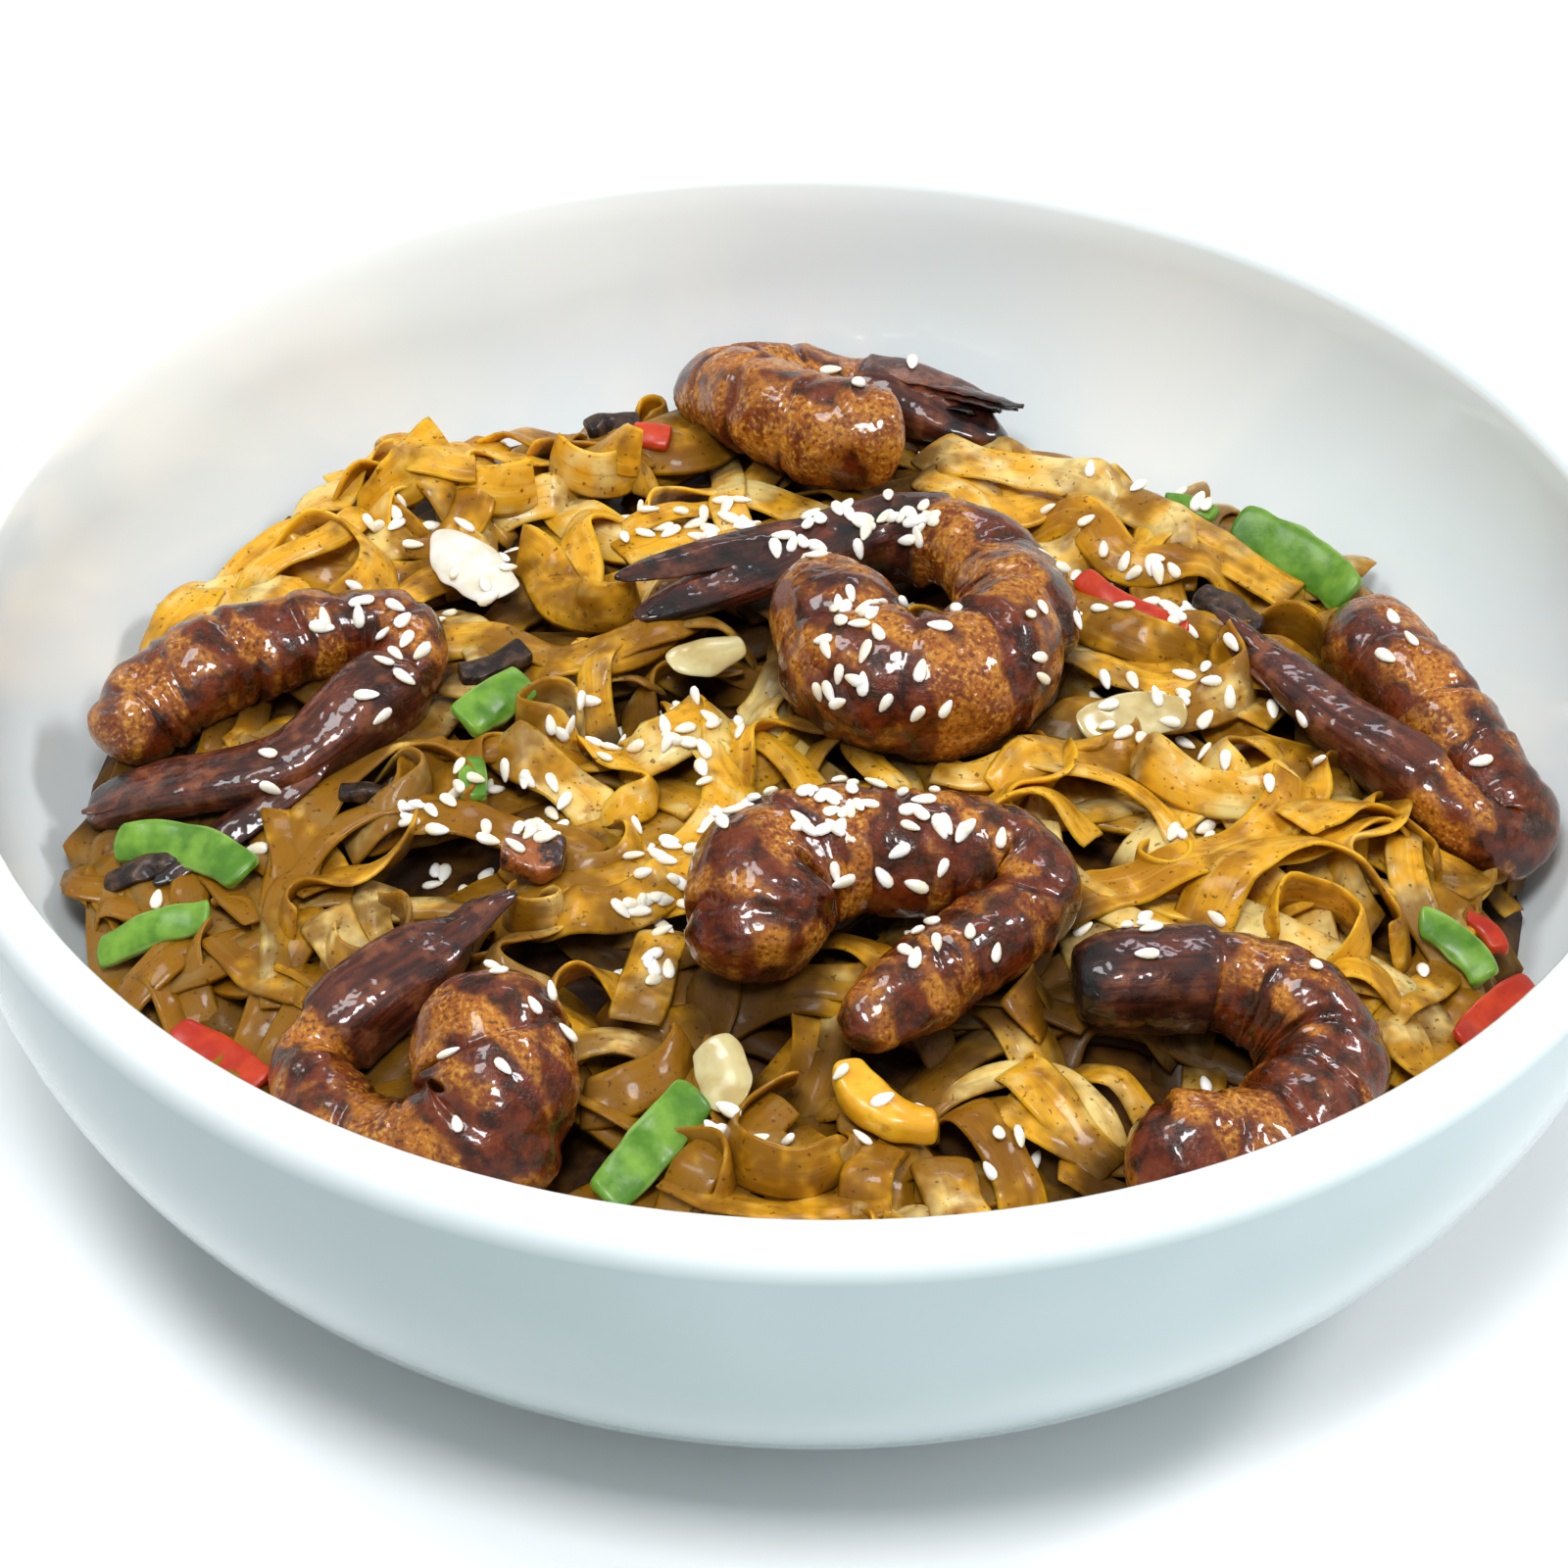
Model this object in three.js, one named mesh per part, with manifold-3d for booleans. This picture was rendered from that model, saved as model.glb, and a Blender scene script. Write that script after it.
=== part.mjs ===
// A deep white glazed bowl, filled with fried flat noodles and topped with seven glazed prawns,
// pepper strips, onion petals, dark mushroom, egg and sesame seeds.
// Millimetres, +Z up. The origin is the middle of the foot ring, on the surface the bowl stands on.
import * as THREE from 'three';
import { mergeVertices } from 'three/addons/utils/BufferGeometryUtils.js';
import Module from 'manifold-3d';

const wasm = await Module();
wasm.setup();

// Bowl
const bowlHeight = 75;
const rimRadius = 120;
const wallThickness = 5.5;
const footRadius = 52;
const footWidth = 5;
const footHeight = 2;
const footRecess = 1.8;
const floorRadius = 48;
const floorHeight = 7;
const wallRoundness = 2.12;
const bowlSegments = 48;
const wallSteps = 6;
const lipSteps = 4;

// Heap of noodles
const crownHeight = 53;
const edgeHeight = 36;
const edgeTilt = 4;
const heapRadius = 104;
const dipAngle = 208;
const dipWidth = 20;
const dipDepth = 9;
const riseAngle = 135;
const riseWidth = 38;
const riseHeight = 6;
const lumpHeight = 0.5;
const coreDrop = 2;
const coreBottom = 5;
const coreReach = heapRadius + 12;
const heapSectors = 27;
const heapRings = 7;

// Noodles and sesame
const noodleWidth = 7.6;
const noodleThickness = 1.5;
const noodleDive = 3.4;
const noodleStand = 78;
const shownLift = 0.8;
const spreadCount = 9;
const shortestNoodle = 9;
const seedLength = 3.4;
const seedWidth = 1.9;
const seedThickness = 1.2;

// Air between neighbours, and the deeper air under a prawn
const gap = 0.35;
const bedGap = 1.1;

// How many rings of a prawn are lofted at a time
const ringRun = 4;

// How near a noodle may come to a topping's middle line, as a share of the topping's size
const nearPrawn = 0.55;
const nearPiece = 0.4;

// Each draw of places has its own seed
const spreadSeed = 7;
const sprinkleSeed = 21;

const degrees = Math.PI / 180;
const goldenAngle = 180 * (3 - Math.sqrt(5)) * degrees;
const upward = new THREE.Vector3(0, 0, 1);

// ------------------------------------------------------------------ helpers

function seededRandom(seed) {
  let state = seed;
  return () => {
    state = (state * 1664525 + 1013904223) % 4294967296;
    return state / 4294967296;
  };
}

function smoothStep(low, high, value) {
  const t = Math.min(1, Math.max(0, (value - low) / (high - low)));
  return t * t * (3 - 2 * t);
}

// Turns a closed geometry into a solid, with its faces pointing out.
function solidOf(geometry) {
  geometry.deleteAttribute('normal');
  geometry.deleteAttribute('uv');
  const merged = mergeVertices(geometry, 1e-4);
  const corners = merged.index.array;
  const triangles = [];
  for (let i = 0; i < corners.length; i += 3) {
    const [a, b, c] = [corners[i], corners[i + 1], corners[i + 2]];
    if (a !== b && b !== c && c !== a) triangles.push([a, b, c]);
  }
  const build = (order) => new wasm.Manifold(new wasm.Mesh({
    numProp: 3,
    vertProperties: Float32Array.from(merged.attributes.position.array),
    triVerts: Uint32Array.from(triangles.flatMap(order)),
  }));
  const body = build((triangle) => triangle);
  return body.volume() > 0 ? body : build(([a, b, c]) => [a, c, b]);
}

// The largest piece of a solid, without loose scraps and without hollows sealed inside it.
function mainPiece(body) {
  const pieces = body.decompose();
  return pieces.reduce((best, piece) => (piece.volume() > best.volume() ? piece : best));
}

function geometryOf(body) {
  const mesh = body.getMesh();
  const geometry = new THREE.BufferGeometry();
  const position = new THREE.BufferAttribute(Float32Array.from(mesh.vertProperties), 3);
  geometry.setAttribute('position', position);
  geometry.setIndex(Array.from(mesh.triVerts));
  return geometry;
}

// Joins a row of equal rings of points into one closed skin, with a flat cap at each end.
function loft(rings) {
  const sides = rings[0].length;
  const last = (rings.length - 1) * sides;
  const index = [];
  for (let row = 0; row < last; row += sides) {
    for (let side = 0; side < sides; side++) {
      const a = row + side;
      const b = row + ((side + 1) % sides);
      index.push(a, b, a + sides, b, b + sides, a + sides);
    }
  }
  for (let side = 1; side < sides - 1; side++) {
    index.push(0, side + 1, side);
    index.push(last, last + side, last + side + 1);
  }
  const geometry = new THREE.BufferGeometry().setFromPoints(rings.flat());
  geometry.setIndex(index);
  return geometry;
}

// ------------------------------------------------------------------ bowl

// A wall's quarter-round run from its low end out and up to its high end.
function wallCurve(low, high, steps) {
  const points = [];
  for (let i = 0; i <= steps; i++) {
    const angle = (i / steps) * (Math.PI / 2);
    const out = Math.sin(angle) ** (2 / wallRoundness);
    const drop = Math.cos(angle) ** (2 / wallRoundness);
    points.push(new THREE.Vector2(
      low.x + (high.x - low.x) * out,
      high.y - (high.y - low.y) * drop,
    ));
  }
  return points;
}

const lipRadius = wallThickness / 2;
const innerWall = wallCurve(
  new THREE.Vector2(floorRadius, floorHeight),
  new THREE.Vector2(rimRadius - wallThickness, bowlHeight - lipRadius),
  wallSteps,
);

function lathe(profile, segments) {
  return solidOf(new THREE.LatheGeometry(profile, segments).rotateX(Math.PI / 2));
}

function makeBowl() {
  const outerWall = wallCurve(
    new THREE.Vector2(footRadius, footHeight),
    new THREE.Vector2(rimRadius, bowlHeight - lipRadius),
    wallSteps,
  );
  const lip = [];
  for (let i = 1; i < lipSteps; i++) {
    const angle = (i / lipSteps) * Math.PI;
    lip.push(new THREE.Vector2(
      rimRadius - lipRadius + lipRadius * Math.cos(angle),
      bowlHeight - lipRadius + lipRadius * Math.sin(angle),
    ));
  }
  const foot = [
    new THREE.Vector2(0, footRecess),
    new THREE.Vector2(footRadius - footWidth, footRecess),
    new THREE.Vector2(footRadius - footWidth, 0),
    new THREE.Vector2(footRadius, 0),
  ];
  const inside = [...innerWall].reverse();
  const middle = new THREE.Vector2(0, floorHeight);
  return lathe([...foot, ...outerWall, ...lip, ...inside, middle], bowlSegments);
}

// The space that food may fill: the bowl's inside, a gap clear of the glaze.
function makeCavity() {
  const side = innerWall.map((point, i) => {
    const before = innerWall[Math.max(0, i - 1)];
    const after = innerWall[Math.min(innerWall.length - 1, i + 1)];
    const along = after.clone().sub(before).normalize();
    return new THREE.Vector2(point.x - along.y * gap * 1.5, point.y + along.x * gap * 1.5);
  });
  const floor = new THREE.Vector2(0, side[0].y);
  const lid = new THREE.Vector2(0, side[side.length - 1].y);
  return lathe([floor, ...side, lid], bowlSegments);
}

// ------------------------------------------------------------------ heap of noodles

// Height of the bare heap: a low dome, higher at the back, whose edge rises at the back left and
// dips at the front left.
function heapTop(x, y) {
  const reach = Math.hypot(x, y) / heapRadius;
  const angle = Math.atan2(y, x);
  const edge = edgeHeight + edgeTilt * Math.sin(angle);
  const bump = (middle, width) => {
    const away = ((angle / degrees - middle + 900) % 360) - 180;
    return Math.exp(-((away / width) ** 2));
  };
  const rise = riseHeight * bump(riseAngle, riseWidth) - dipDepth * bump(dipAngle, dipWidth);
  return edge + (crownHeight - edge) * (1 - reach ** 3) + rise * Math.min(reach, 1) ** 4;
}

function lumps(x, y) {
  return lumpHeight * Math.sin(x / 6.1 + 2 * Math.sin(y / 17)) * Math.sin(y / 5.3 + 2 * Math.sin(x / 19));
}

// The heap's own body below its loose noodles.
function makeCore() {
  const rings = [];
  for (let ring = heapRings; ring >= 0; ring--) {
    const radius = Math.max(0.01, (ring / heapRings) * coreReach);
    rings.push(heapCircle(radius, (x, y) => heapTop(x, y) + lumps(x, y) - coreDrop));
  }
  rings.unshift(heapCircle(coreReach, () => coreBottom));
  rings.unshift(heapCircle(0.01, () => coreBottom));
  return solidOf(loft(rings));
}

function heapCircle(radius, height) {
  const circle = [];
  for (let sector = 0; sector < heapSectors; sector++) {
    const angle = (sector / heapSectors) * 2 * Math.PI;
    const x = radius * Math.cos(angle);
    const y = radius * Math.sin(angle);
    circle.push(new THREE.Vector3(x, y, height(x, y)));
  }
  return circle;
}

// A route over the heap: it starts at x, y along heading, and its turning changes evenly
// from bendStart to bendEnd, both in degrees for the whole length.
function routeOf({ x, y, heading, length, bendStart, bendEnd = bendStart }, steps) {
  const fine = 8;
  const stride = length / (steps * fine);
  const route = [];
  let at = new THREE.Vector2(x, y);
  for (let i = 0; i <= steps * fine; i++) {
    const s = (i + 0.5) / (steps * fine);
    const direction = heading + bendStart * s + ((bendEnd - bendStart) * s * s) / 2;
    const along = new THREE.Vector2(Math.cos(direction * degrees), Math.sin(direction * degrees));
    const done = i / (steps * fine);
    if (i % fine === 0) {
      const bend = bendStart + (bendEnd - bendStart) * done;
      route.push({ x: at.x, y: at.y, along, done, curl: (bend * degrees) / length });
    }
    at = at.clone().addScaledVector(along, stride);
  }
  return route;
}

// One ribbon with a flat oblong section. It lies flat on its straight runs, stands up on its
// edge where it curls, and dives at both ends.
function makeNoodle(noodle) {
  const turning = Math.abs(noodle.bendStart) + Math.abs(noodle.bendEnd);
  const steps = Math.round(Math.min(11, Math.max(4, noodle.length / 6 + turning / 110)));
  const route = routeOf(noodle, steps);
  const rings = route.map(({ x, y, along, done, curl }) => {
    const curled = smoothStep(0.15, 1.1, noodleWidth * Math.abs(curl));
    const roll = Math.sign(curl) * noodleStand * degrees * curled;
    const ends = smoothStep(0, 0.2, done) * smoothStep(0, 0.2, 1 - done);
    const standing = 0.4 * noodleWidth * Math.abs(Math.sin(roll));
    const z = heapTop(x, y) + noodle.lift + standing - noodleDive * (1 - ends);
    const sideways = new THREE.Vector3(-along.y, along.x, 0);
    const across = sideways.clone().multiplyScalar(Math.cos(roll)).addScaledVector(upward, Math.sin(roll));
    const through = new THREE.Vector3(along.x, along.y, 0).cross(across);
    const corner = (w, t) => new THREE.Vector3(x, y, z)
      .addScaledVector(across, (w * noodleWidth) / 2)
      .addScaledVector(through, (t * noodleThickness) / 2);
    return [corner(-1, -1), corner(1, -1), corner(1, 1), corner(-1, 1)];
  });
  return solidOf(loft(rings));
}

// The noodles that show best: x, y, heading, length, bendStart, bendEnd.
const shownNoodles = [
  [7, -69, -70, 44, -335, -235],
  [19, -60, -50, 23, 15, -100],
  [26, -53, -55, 22, 20, 15],
  [13, -67, -120, 17, 30, 30],
  [18, -68, -85, 16, 15, 15],
  [-17, -29, -115, 23, 50, -25],
  [-16, -49, -60, 24, -165, -85],
  [-16, -82, 60, 23, -15, -15],
  [-46, -10, 50, 63, 510, -90],
  [-53, -13, -90, 29, -360, 500],
  [-80, -23, -145, 26, 220, -40],
  [-78, -25, -65, 19, 35, 30],
  [-100, -16, 15, 22, -80, -30],
  [-81, -9, -60, 19, 0, -5],
  [24, 71, 40, 30, 25, 20],
  [48, 81, 95, 33, -275, -145],
  [48, 71, -70, 28, 110, -30],
  [32, 11, 50, 39, -205, 315],
  [-79, 78, 20, 25, -200, 55],
  [-79, 51, 60, 40, -280, -135],
  [-60, 54, 140, 34, -290, 100],
  [-42, 76, 45, 22, -125, -95],
  [-42, 50, -25, 31, -285, 605],
  [-26, 3, 0, 19, 70, 60],
  [-14, 4, -50, 57, -240, -35],
  [-17, -20, -95, 24, -125, -70],
  [-54, -12, 0, 27, -10, -70],
  [45, 11, -105, 34, 195, 140],
  [67, 3, -85, 50, -210, 115],
  [52, -29, 65, 49, -20, -385],
  [66, -9, 45, 30, 0, -335],
  [63, -30, 115, 33, -270, -310],
  [68, -34, 15, 19, -60, -45],
  [26, -6, 60, 29, -185, 270],
].map(([x, y, heading, length, bendStart, bendEnd]) => ({
  x, y, heading, length, bendStart, bendEnd, lift: shownLift,
}));

// More noodles, spread evenly over the heap round a spiral of golden angles.
function spreadNoodles(count, random) {
  const noodles = [];
  for (let i = 0; i < count; i++) {
    const radius = (heapRadius - 8) * Math.sqrt((i + 0.5) / count);
    const angle = i * goldenAngle;
    noodles.push({
      x: radius * Math.cos(angle),
      y: radius * Math.sin(angle),
      heading: random() * 360,
      length: 18 + random() * 14,
      bendStart: (random() - 0.5) * 300,
      bendEnd: (random() - 0.5) * 300,
      lift: random() * 0.6,
    });
  }
  return noodles;
}

// Cuts a noodle short where it would run out of the heap or under a topping, given as
// circles on the plan. One that is left too short is skipped.
function shortened(noodle, circles) {
  const steps = 12;
  const free = routeOf(noodle, steps).map(({ x, y }) => (
    Math.hypot(x, y) < heapRadius - 2
    && circles.every((circle) => Math.hypot(x - circle.x, y - circle.y) > circle.radius)
  ));
  const from = free.indexOf(true);
  if (from < 0) return null;
  const stop = free.indexOf(false, from);
  const to = (stop < 0 ? steps + 1 : stop) - 1;
  const length = (noodle.length * (to - from)) / steps;
  if (length < shortestNoodle) return null;
  const start = routeOf(noodle, steps)[from];
  const part = (to - from) / steps;
  const bendAt = (s) => noodle.bendStart + (noodle.bendEnd - noodle.bendStart) * s;
  return {
    ...noodle,
    x: start.x,
    y: start.y,
    heading: Math.atan2(start.along.y, start.along.x) / degrees,
    length,
    bendStart: bendAt(from / steps) * part,
    bendEnd: bendAt(to / steps) * part,
  };
}

// ------------------------------------------------------------------ prawns

// Each prawn's middle line runs from its head end to the tip of its tail through points given as
// x, y, z and the girth there, which is the radius of the body. Shell is the share of the line at
// which the tail shell begins, and flat the height left at its tip as a share of its width.
const prawns = {
  left: {
    shell: 0.53, flat: 0.55, line: [
      [-97, 10, 45, 5.4], [-92.5, 15.5, 48, 6.8], [-86, 19, 51, 7.2], [-78, 23, 53, 6.8],
      [-68.5, 25.5, 54.5, 6.4], [-60.5, 26, 55.5, 5.8], [-55.5, 22, 55.5, 5.2], [-57, 16, 54.5, 5.4],
      [-62, 9.5, 53.5, 5.6], [-70.5, 2.5, 50.5, 4.8], [-80, 1, 48, 4.8], [-90, 2, 44.5, 4.2],
      [-96.5, 2.5, 41.5, 2], [-99, 2.5, 39.5, 0.6],
    ],
  },
  back: {
    shell: 0.7, flat: 0.35, line: [
      [10.5, 77.5, 52.5, 6.6], [7, 76.5, 54, 8], [-0.5, 80.5, 53.5, 7.8], [-7, 84.5, 53, 7.8],
      [-12, 91, 50.5, 7.2], [-14, 96, 48.5, 6.4], [-9.5, 101, 46, 5.8], [-1.5, 102.5, 45, 5.6],
      [7, 101.5, 44.5, 5.2], [13.5, 98.5, 45.5, 5.6], [19, 94.5, 46.5, 6.2], [24.5, 91.5, 46.5, 5],
      [27.5, 92.5, 44, 1.8],
    ],
  },
  centre: {
    shell: 0.62, flat: 0.45, line: [
      [2, 35.5, 58, 5.6], [3, 23.5, 60, 9], [8.5, 11, 60.5, 10.2], [16.5, 9.5, 60.5, 10.2],
      [24.5, 15, 60, 9.8], [28.5, 27, 59, 8.8], [25.5, 39.5, 58, 7.4], [18.5, 47, 57, 6.4],
      [10.5, 50, 56, 5.6], [1, 46, 56.5, 5.2], [-9.5, 38.5, 56.5, 4.8], [-19, 32.5, 56.5, 4.2],
      [-25, 29, 56, 3],
    ],
  },
  right: {
    shell: 0.61, flat: 0.6, line: [
      [78.5, 44, 47.5, 5.4], [80.5, 33.5, 49.5, 7.2], [86, 22.5, 49, 7.2], [92.5, 13.5, 46, 6.8],
      [97, 6, 43.5, 6.2], [97, 2, 42, 5.4], [92, 1.5, 44.5, 5.2], [86.5, 5, 47.5, 5], [80, 10, 50, 4.8],
      [74, 16, 51, 4.4], [67.5, 24, 52, 3.8], [62.5, 31, 52, 2.6], [59.5, 36.5, 51.5, 1],
    ],
  },
  middle: {
    shell: 0.98, flat: 1, line: [
      [-6.5, -48, 55.5, 6], [-6.5, -42.5, 58.5, 9.2], [-5, -33.5, 61, 10.2], [3, -28, 60.5, 9.2],
      [12, -27, 60.5, 8.8], [21.5, -26, 60, 8.2], [28, -27, 58.5, 7], [30, -33, 57.5, 6.4],
      [24.5, -41, 57, 6.4], [16, -49, 56.5, 6.4], [9, -55, 55, 4.6], [5.5, -56.5, 53, 1.6],
    ],
  },
  front_left: {
    shell: 0.72, flat: 0.5, line: [
      [-43.5, -51.5, 52.5, 5.8], [-41, -60, 54, 10.2], [-39, -67, 52.5, 10.6], [-41, -73, 49, 10.2],
      [-49, -73, 45, 8.4], [-57.5, -67.5, 43, 7], [-62.5, -60, 43.5, 6.2], [-64, -54, 44.5, 5.4],
      [-60, -49.5, 47.5, 5.2], [-54, -45, 51, 5.2], [-48.5, -40, 53, 3.6], [-45, -35, 53.5, 0.8],
    ],
  },
  front_right: {
    shell: 0.76, flat: 0.85, line: [
      [42.5, -73, 45.5, 5.4], [48, -73, 46.5, 9.4], [58, -69.5, 45.5, 9.6], [65.5, -62.5, 45.5, 9],
      [69.5, -53.5, 46.5, 8.2], [67, -46.5, 49, 7.8], [60.5, -42.5, 51.5, 7.2], [54, -42, 52.5, 6.4],
      [46.5, -43.5, 53.5, 6.4], [39.5, -44.5, 54, 6.2], [35.5, -45, 54, 5.2],
    ],
  },
};

// Evenly spaced points down a prawn's middle, from the head end to the tip of the tail.
function prawnLine(prawn, count) {
  const smooth = (points) => new THREE.CatmullRomCurve3(points, false, 'catmullrom', 0.5);
  const middle = smooth(prawn.line.map(([x, y, z]) => new THREE.Vector3(x, y, z)));
  const girths = smooth(prawn.line.map(([, , , girth]) => new THREE.Vector3(girth, 0, 0)));
  middle.arcLengthDivisions = 400;
  const line = [];
  for (let i = 0; i <= count; i++) {
    const t = middle.getUtoTmapping(i / count);
    const point = middle.getPoint(t);
    point.girth = girths.getPoint(t).x;
    line.push(point);
  }
  return line;
}

// Where the rings of the body stand, and their size as a share of the girth: a blunt head end, six
// rings of flesh with a crease before each, then the tail shell.
function prawnStations(shell) {
  const stations = [[0, 0.5], [0.03, 0.88]];
  const segments = 6;
  const neck = 0.06;
  for (let k = 0; k < segments; k++) {
    const start = neck + (k / segments) * (shell - neck);
    stations.push([start, 0.97], [start + (0.45 * (shell - neck)) / segments, 1.02]);
  }
  for (const part of [0, 0.3, 0.6, 0.85, 1]) stations.push([shell + part * (1 - shell), 1]);
  return stations;
}

// The body of a prawn, grown all round. With plain, every other ring is left out.
function makePrawn(prawn, grow, plain = false) {
  const fine = 200;
  const reach = 5;
  const sides = 8;
  const line = prawnLine(prawn, fine);
  const flat = (i) => new THREE.Vector2(line[i].x, line[i].y);
  const stations = prawnStations(prawn.shell).filter((_, k) => !plain || k === 0 || k % 2 === 1);
  const rings = stations.map(([at, share], k) => {
    const i = Math.round(at * fine);
    const low = Math.max(0, i - reach);
    const high = Math.min(fine, i + reach);
    const along = line[high].clone().sub(line[low]).normalize();
    const sideways = upward.clone().cross(along).normalize();
    const above = along.clone().cross(sideways);
    const inner = Math.max(reach, Math.min(fine - reach, i));
    const entering = flat(inner).sub(flat(inner - reach));
    const leaving = flat(inner + reach).sub(flat(inner));
    const curl = entering.cross(leaving) / (entering.length() ** 2 * leaving.length());
    // the inside of a tight curl is squeezed, so that neighbouring rings never cross
    const room = Math.abs(curl) > 1e-6 ? 0.8 / Math.abs(curl) : Infinity;
    const width = line[i].girth * share;
    const height = width * (1 + (prawn.flat - 1) * smoothStep(prawn.shell, prawn.shell + 0.25, at));
    const ring = [];
    const shift = k === 0 ? -grow : k === stations.length - 1 ? grow : 0;
    for (let side = 0; side < sides; side++) {
      const angle = ((side + 0.5) / sides) * 2 * Math.PI;
      let out = (width + grow) * Math.cos(angle);
      if (out * curl > 0) out = Math.sign(out) * Math.min(Math.abs(out), room);
      ring.push(line[i].clone()
        .addScaledVector(along, shift)
        .addScaledVector(sideways, out)
        .addScaledVector(above, (height + grow) * Math.sin(angle)));
    }
    return ring;
  });
  // lofted in short runs, so that no run meets itself where the prawn curls
  let body = null;
  for (let from = 0; from < rings.length - 1; from += ringRun) {
    const run = solidOf(loft(rings.slice(from, from + ringRun + 1)));
    body = body ? body.add(run) : run;
  }
  return body;
}

// ------------------------------------------------------------------ other toppings

// Pieces laid on the heap along a bent route. Width and thickness are at the middle, taper gives
// the width at both ends as a share of it, and tilt leans the piece to its left.
const pieces = {
  green_pepper_1: { x: -95, y: -6, heading: -10, length: 24, bend: -45, width: 6.5, tilt: 35 },
  green_pepper_2: { x: -96, y: -23, heading: 5, length: 16, bend: -10, width: 5.5, tilt: 30 },
  green_pepper_3: { x: -13, y: -64, heading: -125, length: 20, bend: -5, width: 7, tilt: -25 },
  green_pepper_4: { x: 62, y: 69, heading: -30, length: 22, bend: -35, width: 9, tilt: 40 },
  green_pepper_5: { x: 83, y: -20, heading: 0, length: 13, bend: -75, width: 5, tilt: 35 },
  green_pepper_6: { x: -48, y: 7, heading: 50, length: 13, bend: -5, width: 6.5, tilt: 30 },
  green_pepper_7: { x: 51, y: 73, heading: 15, length: 8, bend: -50, width: 3.5, tilt: 20 },
  green_pepper_8: { x: -46, y: 0, heading: -85, length: 9, bend: 0, width: 4, tilt: 0 },
  red_pepper_1: { x: -84, y: -39, heading: -40, length: 19, bend: -15, width: 6, tilt: 20 },
  red_pepper_2: { x: 38, y: 47, heading: -60, length: 20, bend: 45, width: 3.4, tilt: 0 },
  red_pepper_3: { x: -27, y: 83, heading: -15, length: 6, bend: 5, width: 5, tilt: 30, thick: 3.6 },
  red_pepper_4: { x: 88, y: -40, heading: 60, length: 19, bend: -10, width: 5.5, tilt: 25 },
  red_pepper_5: { x: 90, y: -16, heading: -5, length: 7, bend: -80, width: 3, tilt: 0 },
  onion_1: { x: -53, y: 51, heading: -60, length: 18, bend: 0, width: 10, tilt: 35, taper: [0.1, 0.9] },
  onion_2: { x: 37, y: 8, heading: 40, length: 17, bend: -35, width: 7, tilt: 30, taper: [0.5, 0.5] },
  onion_3: { x: -12, y: -56, heading: -65, length: 11, bend: -20, width: 7, tilt: 30, taper: [0.7, 0.3] },
  onion_4: { x: -20, y: 20, heading: 30, length: 12, bend: -10, width: 6, tilt: 25, taper: [0.5, 0.6] },
  egg: {
    x: 6, y: -61, heading: -75, length: 16, bend: 85, width: 6.5, tilt: 0, thick: 4.8, taper: [0.6, 0.6],
  },
  mushroom_1: { x: -34, y: 84, heading: 25, length: 9, bend: -5, width: 4, tilt: 30 },
  mushroom_2: { x: 55, y: 46, heading: -50, length: 11, bend: 40, width: 6, tilt: 0, taper: [0.5, 0.7] },
  mushroom_3: { x: -96, y: -12, heading: 5, length: 11, bend: 5, width: 4, tilt: 20 },
  mushroom_4: { x: -64, y: -5, heading: -5, length: 7, bend: 5, width: 3, tilt: 0 },
  mushroom_5: {
    x: -41, y: -21, heading: -5, length: 9, bend: 0, width: 7.5, tilt: 0, thick: 4, taper: [0.7, 0.7],
  },
  mushroom_6: { x: -49, y: 19, heading: 15, length: 11, bend: 30, width: 4.5, tilt: 0 },
};

function makePiece({ width, tilt, bend, thick = 2.2, taper = [0.8, 0.8], ...place }, grow) {
  const steps = 4;
  const route = routeOf({ ...place, bendStart: bend }, steps);
  const sections = [[-1, 0], [-0.7, -1], [0.7, -1], [1, 0], [0.7, 1], [-0.7, 1]];
  const rings = route.map(({ x, y, along, done }, i) => {
    const end = done < 0.5 ? taper[0] : taper[1];
    const share = end + (1 - end) * Math.sin(Math.PI * done) ** 0.7;
    const halfWidth = (width * share) / 2 + grow;
    const halfThick = (thick * (0.6 + 0.4 * Math.sin(Math.PI * done))) / 2 + grow;
    const shift = i === 0 ? -grow : i === steps ? grow : 0;
    const sideways = new THREE.Vector3(-along.y, along.x, 0);
    const lean = tilt * degrees;
    const across = sideways.clone().multiplyScalar(Math.cos(lean)).addScaledVector(upward, Math.sin(lean));
    const through = new THREE.Vector3(along.x, along.y, 0).cross(across);
    const z = heapTop(x, y) + thick / 2 + 0.25 * width * Math.abs(Math.sin(lean)) + 0.3;
    return sections.map(([w, t]) => new THREE.Vector3(x + along.x * shift, y + along.y * shift, z)
      .addScaledVector(across, w * halfWidth)
      .addScaledVector(through, t * halfThick));
  });
  return solidOf(loft(rings));
}

// ------------------------------------------------------------------ sesame

// Where the seeds lie thickest: x, y, reach of the patch and how many.
const seedPatches = [
  [8, 14, 20, 18],
  [-14, 44, 16, 12],
  [18, -30, 22, 13],
  [-36, -4, 20, 12],
  [46, 42, 20, 11],
  [-72, 30, 18, 5],
  [48, -4, 22, 5],
  [-6, -70, 24, 4],
  [44, -58, 16, 4],
  [-44, -60, 16, 3],
  [14, 76, 18, 4],
  [78, 22, 14, 4],
];

function makeSeed(random) {
  const seed = new THREE.OctahedronGeometry(1, 0);
  const size = 0.85 + 0.3 * random();
  seed.scale((size * seedLength) / 2, (size * seedWidth) / 2, seedThickness / 2);
  return seed.rotateZ(random() * Math.PI);
}

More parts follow.
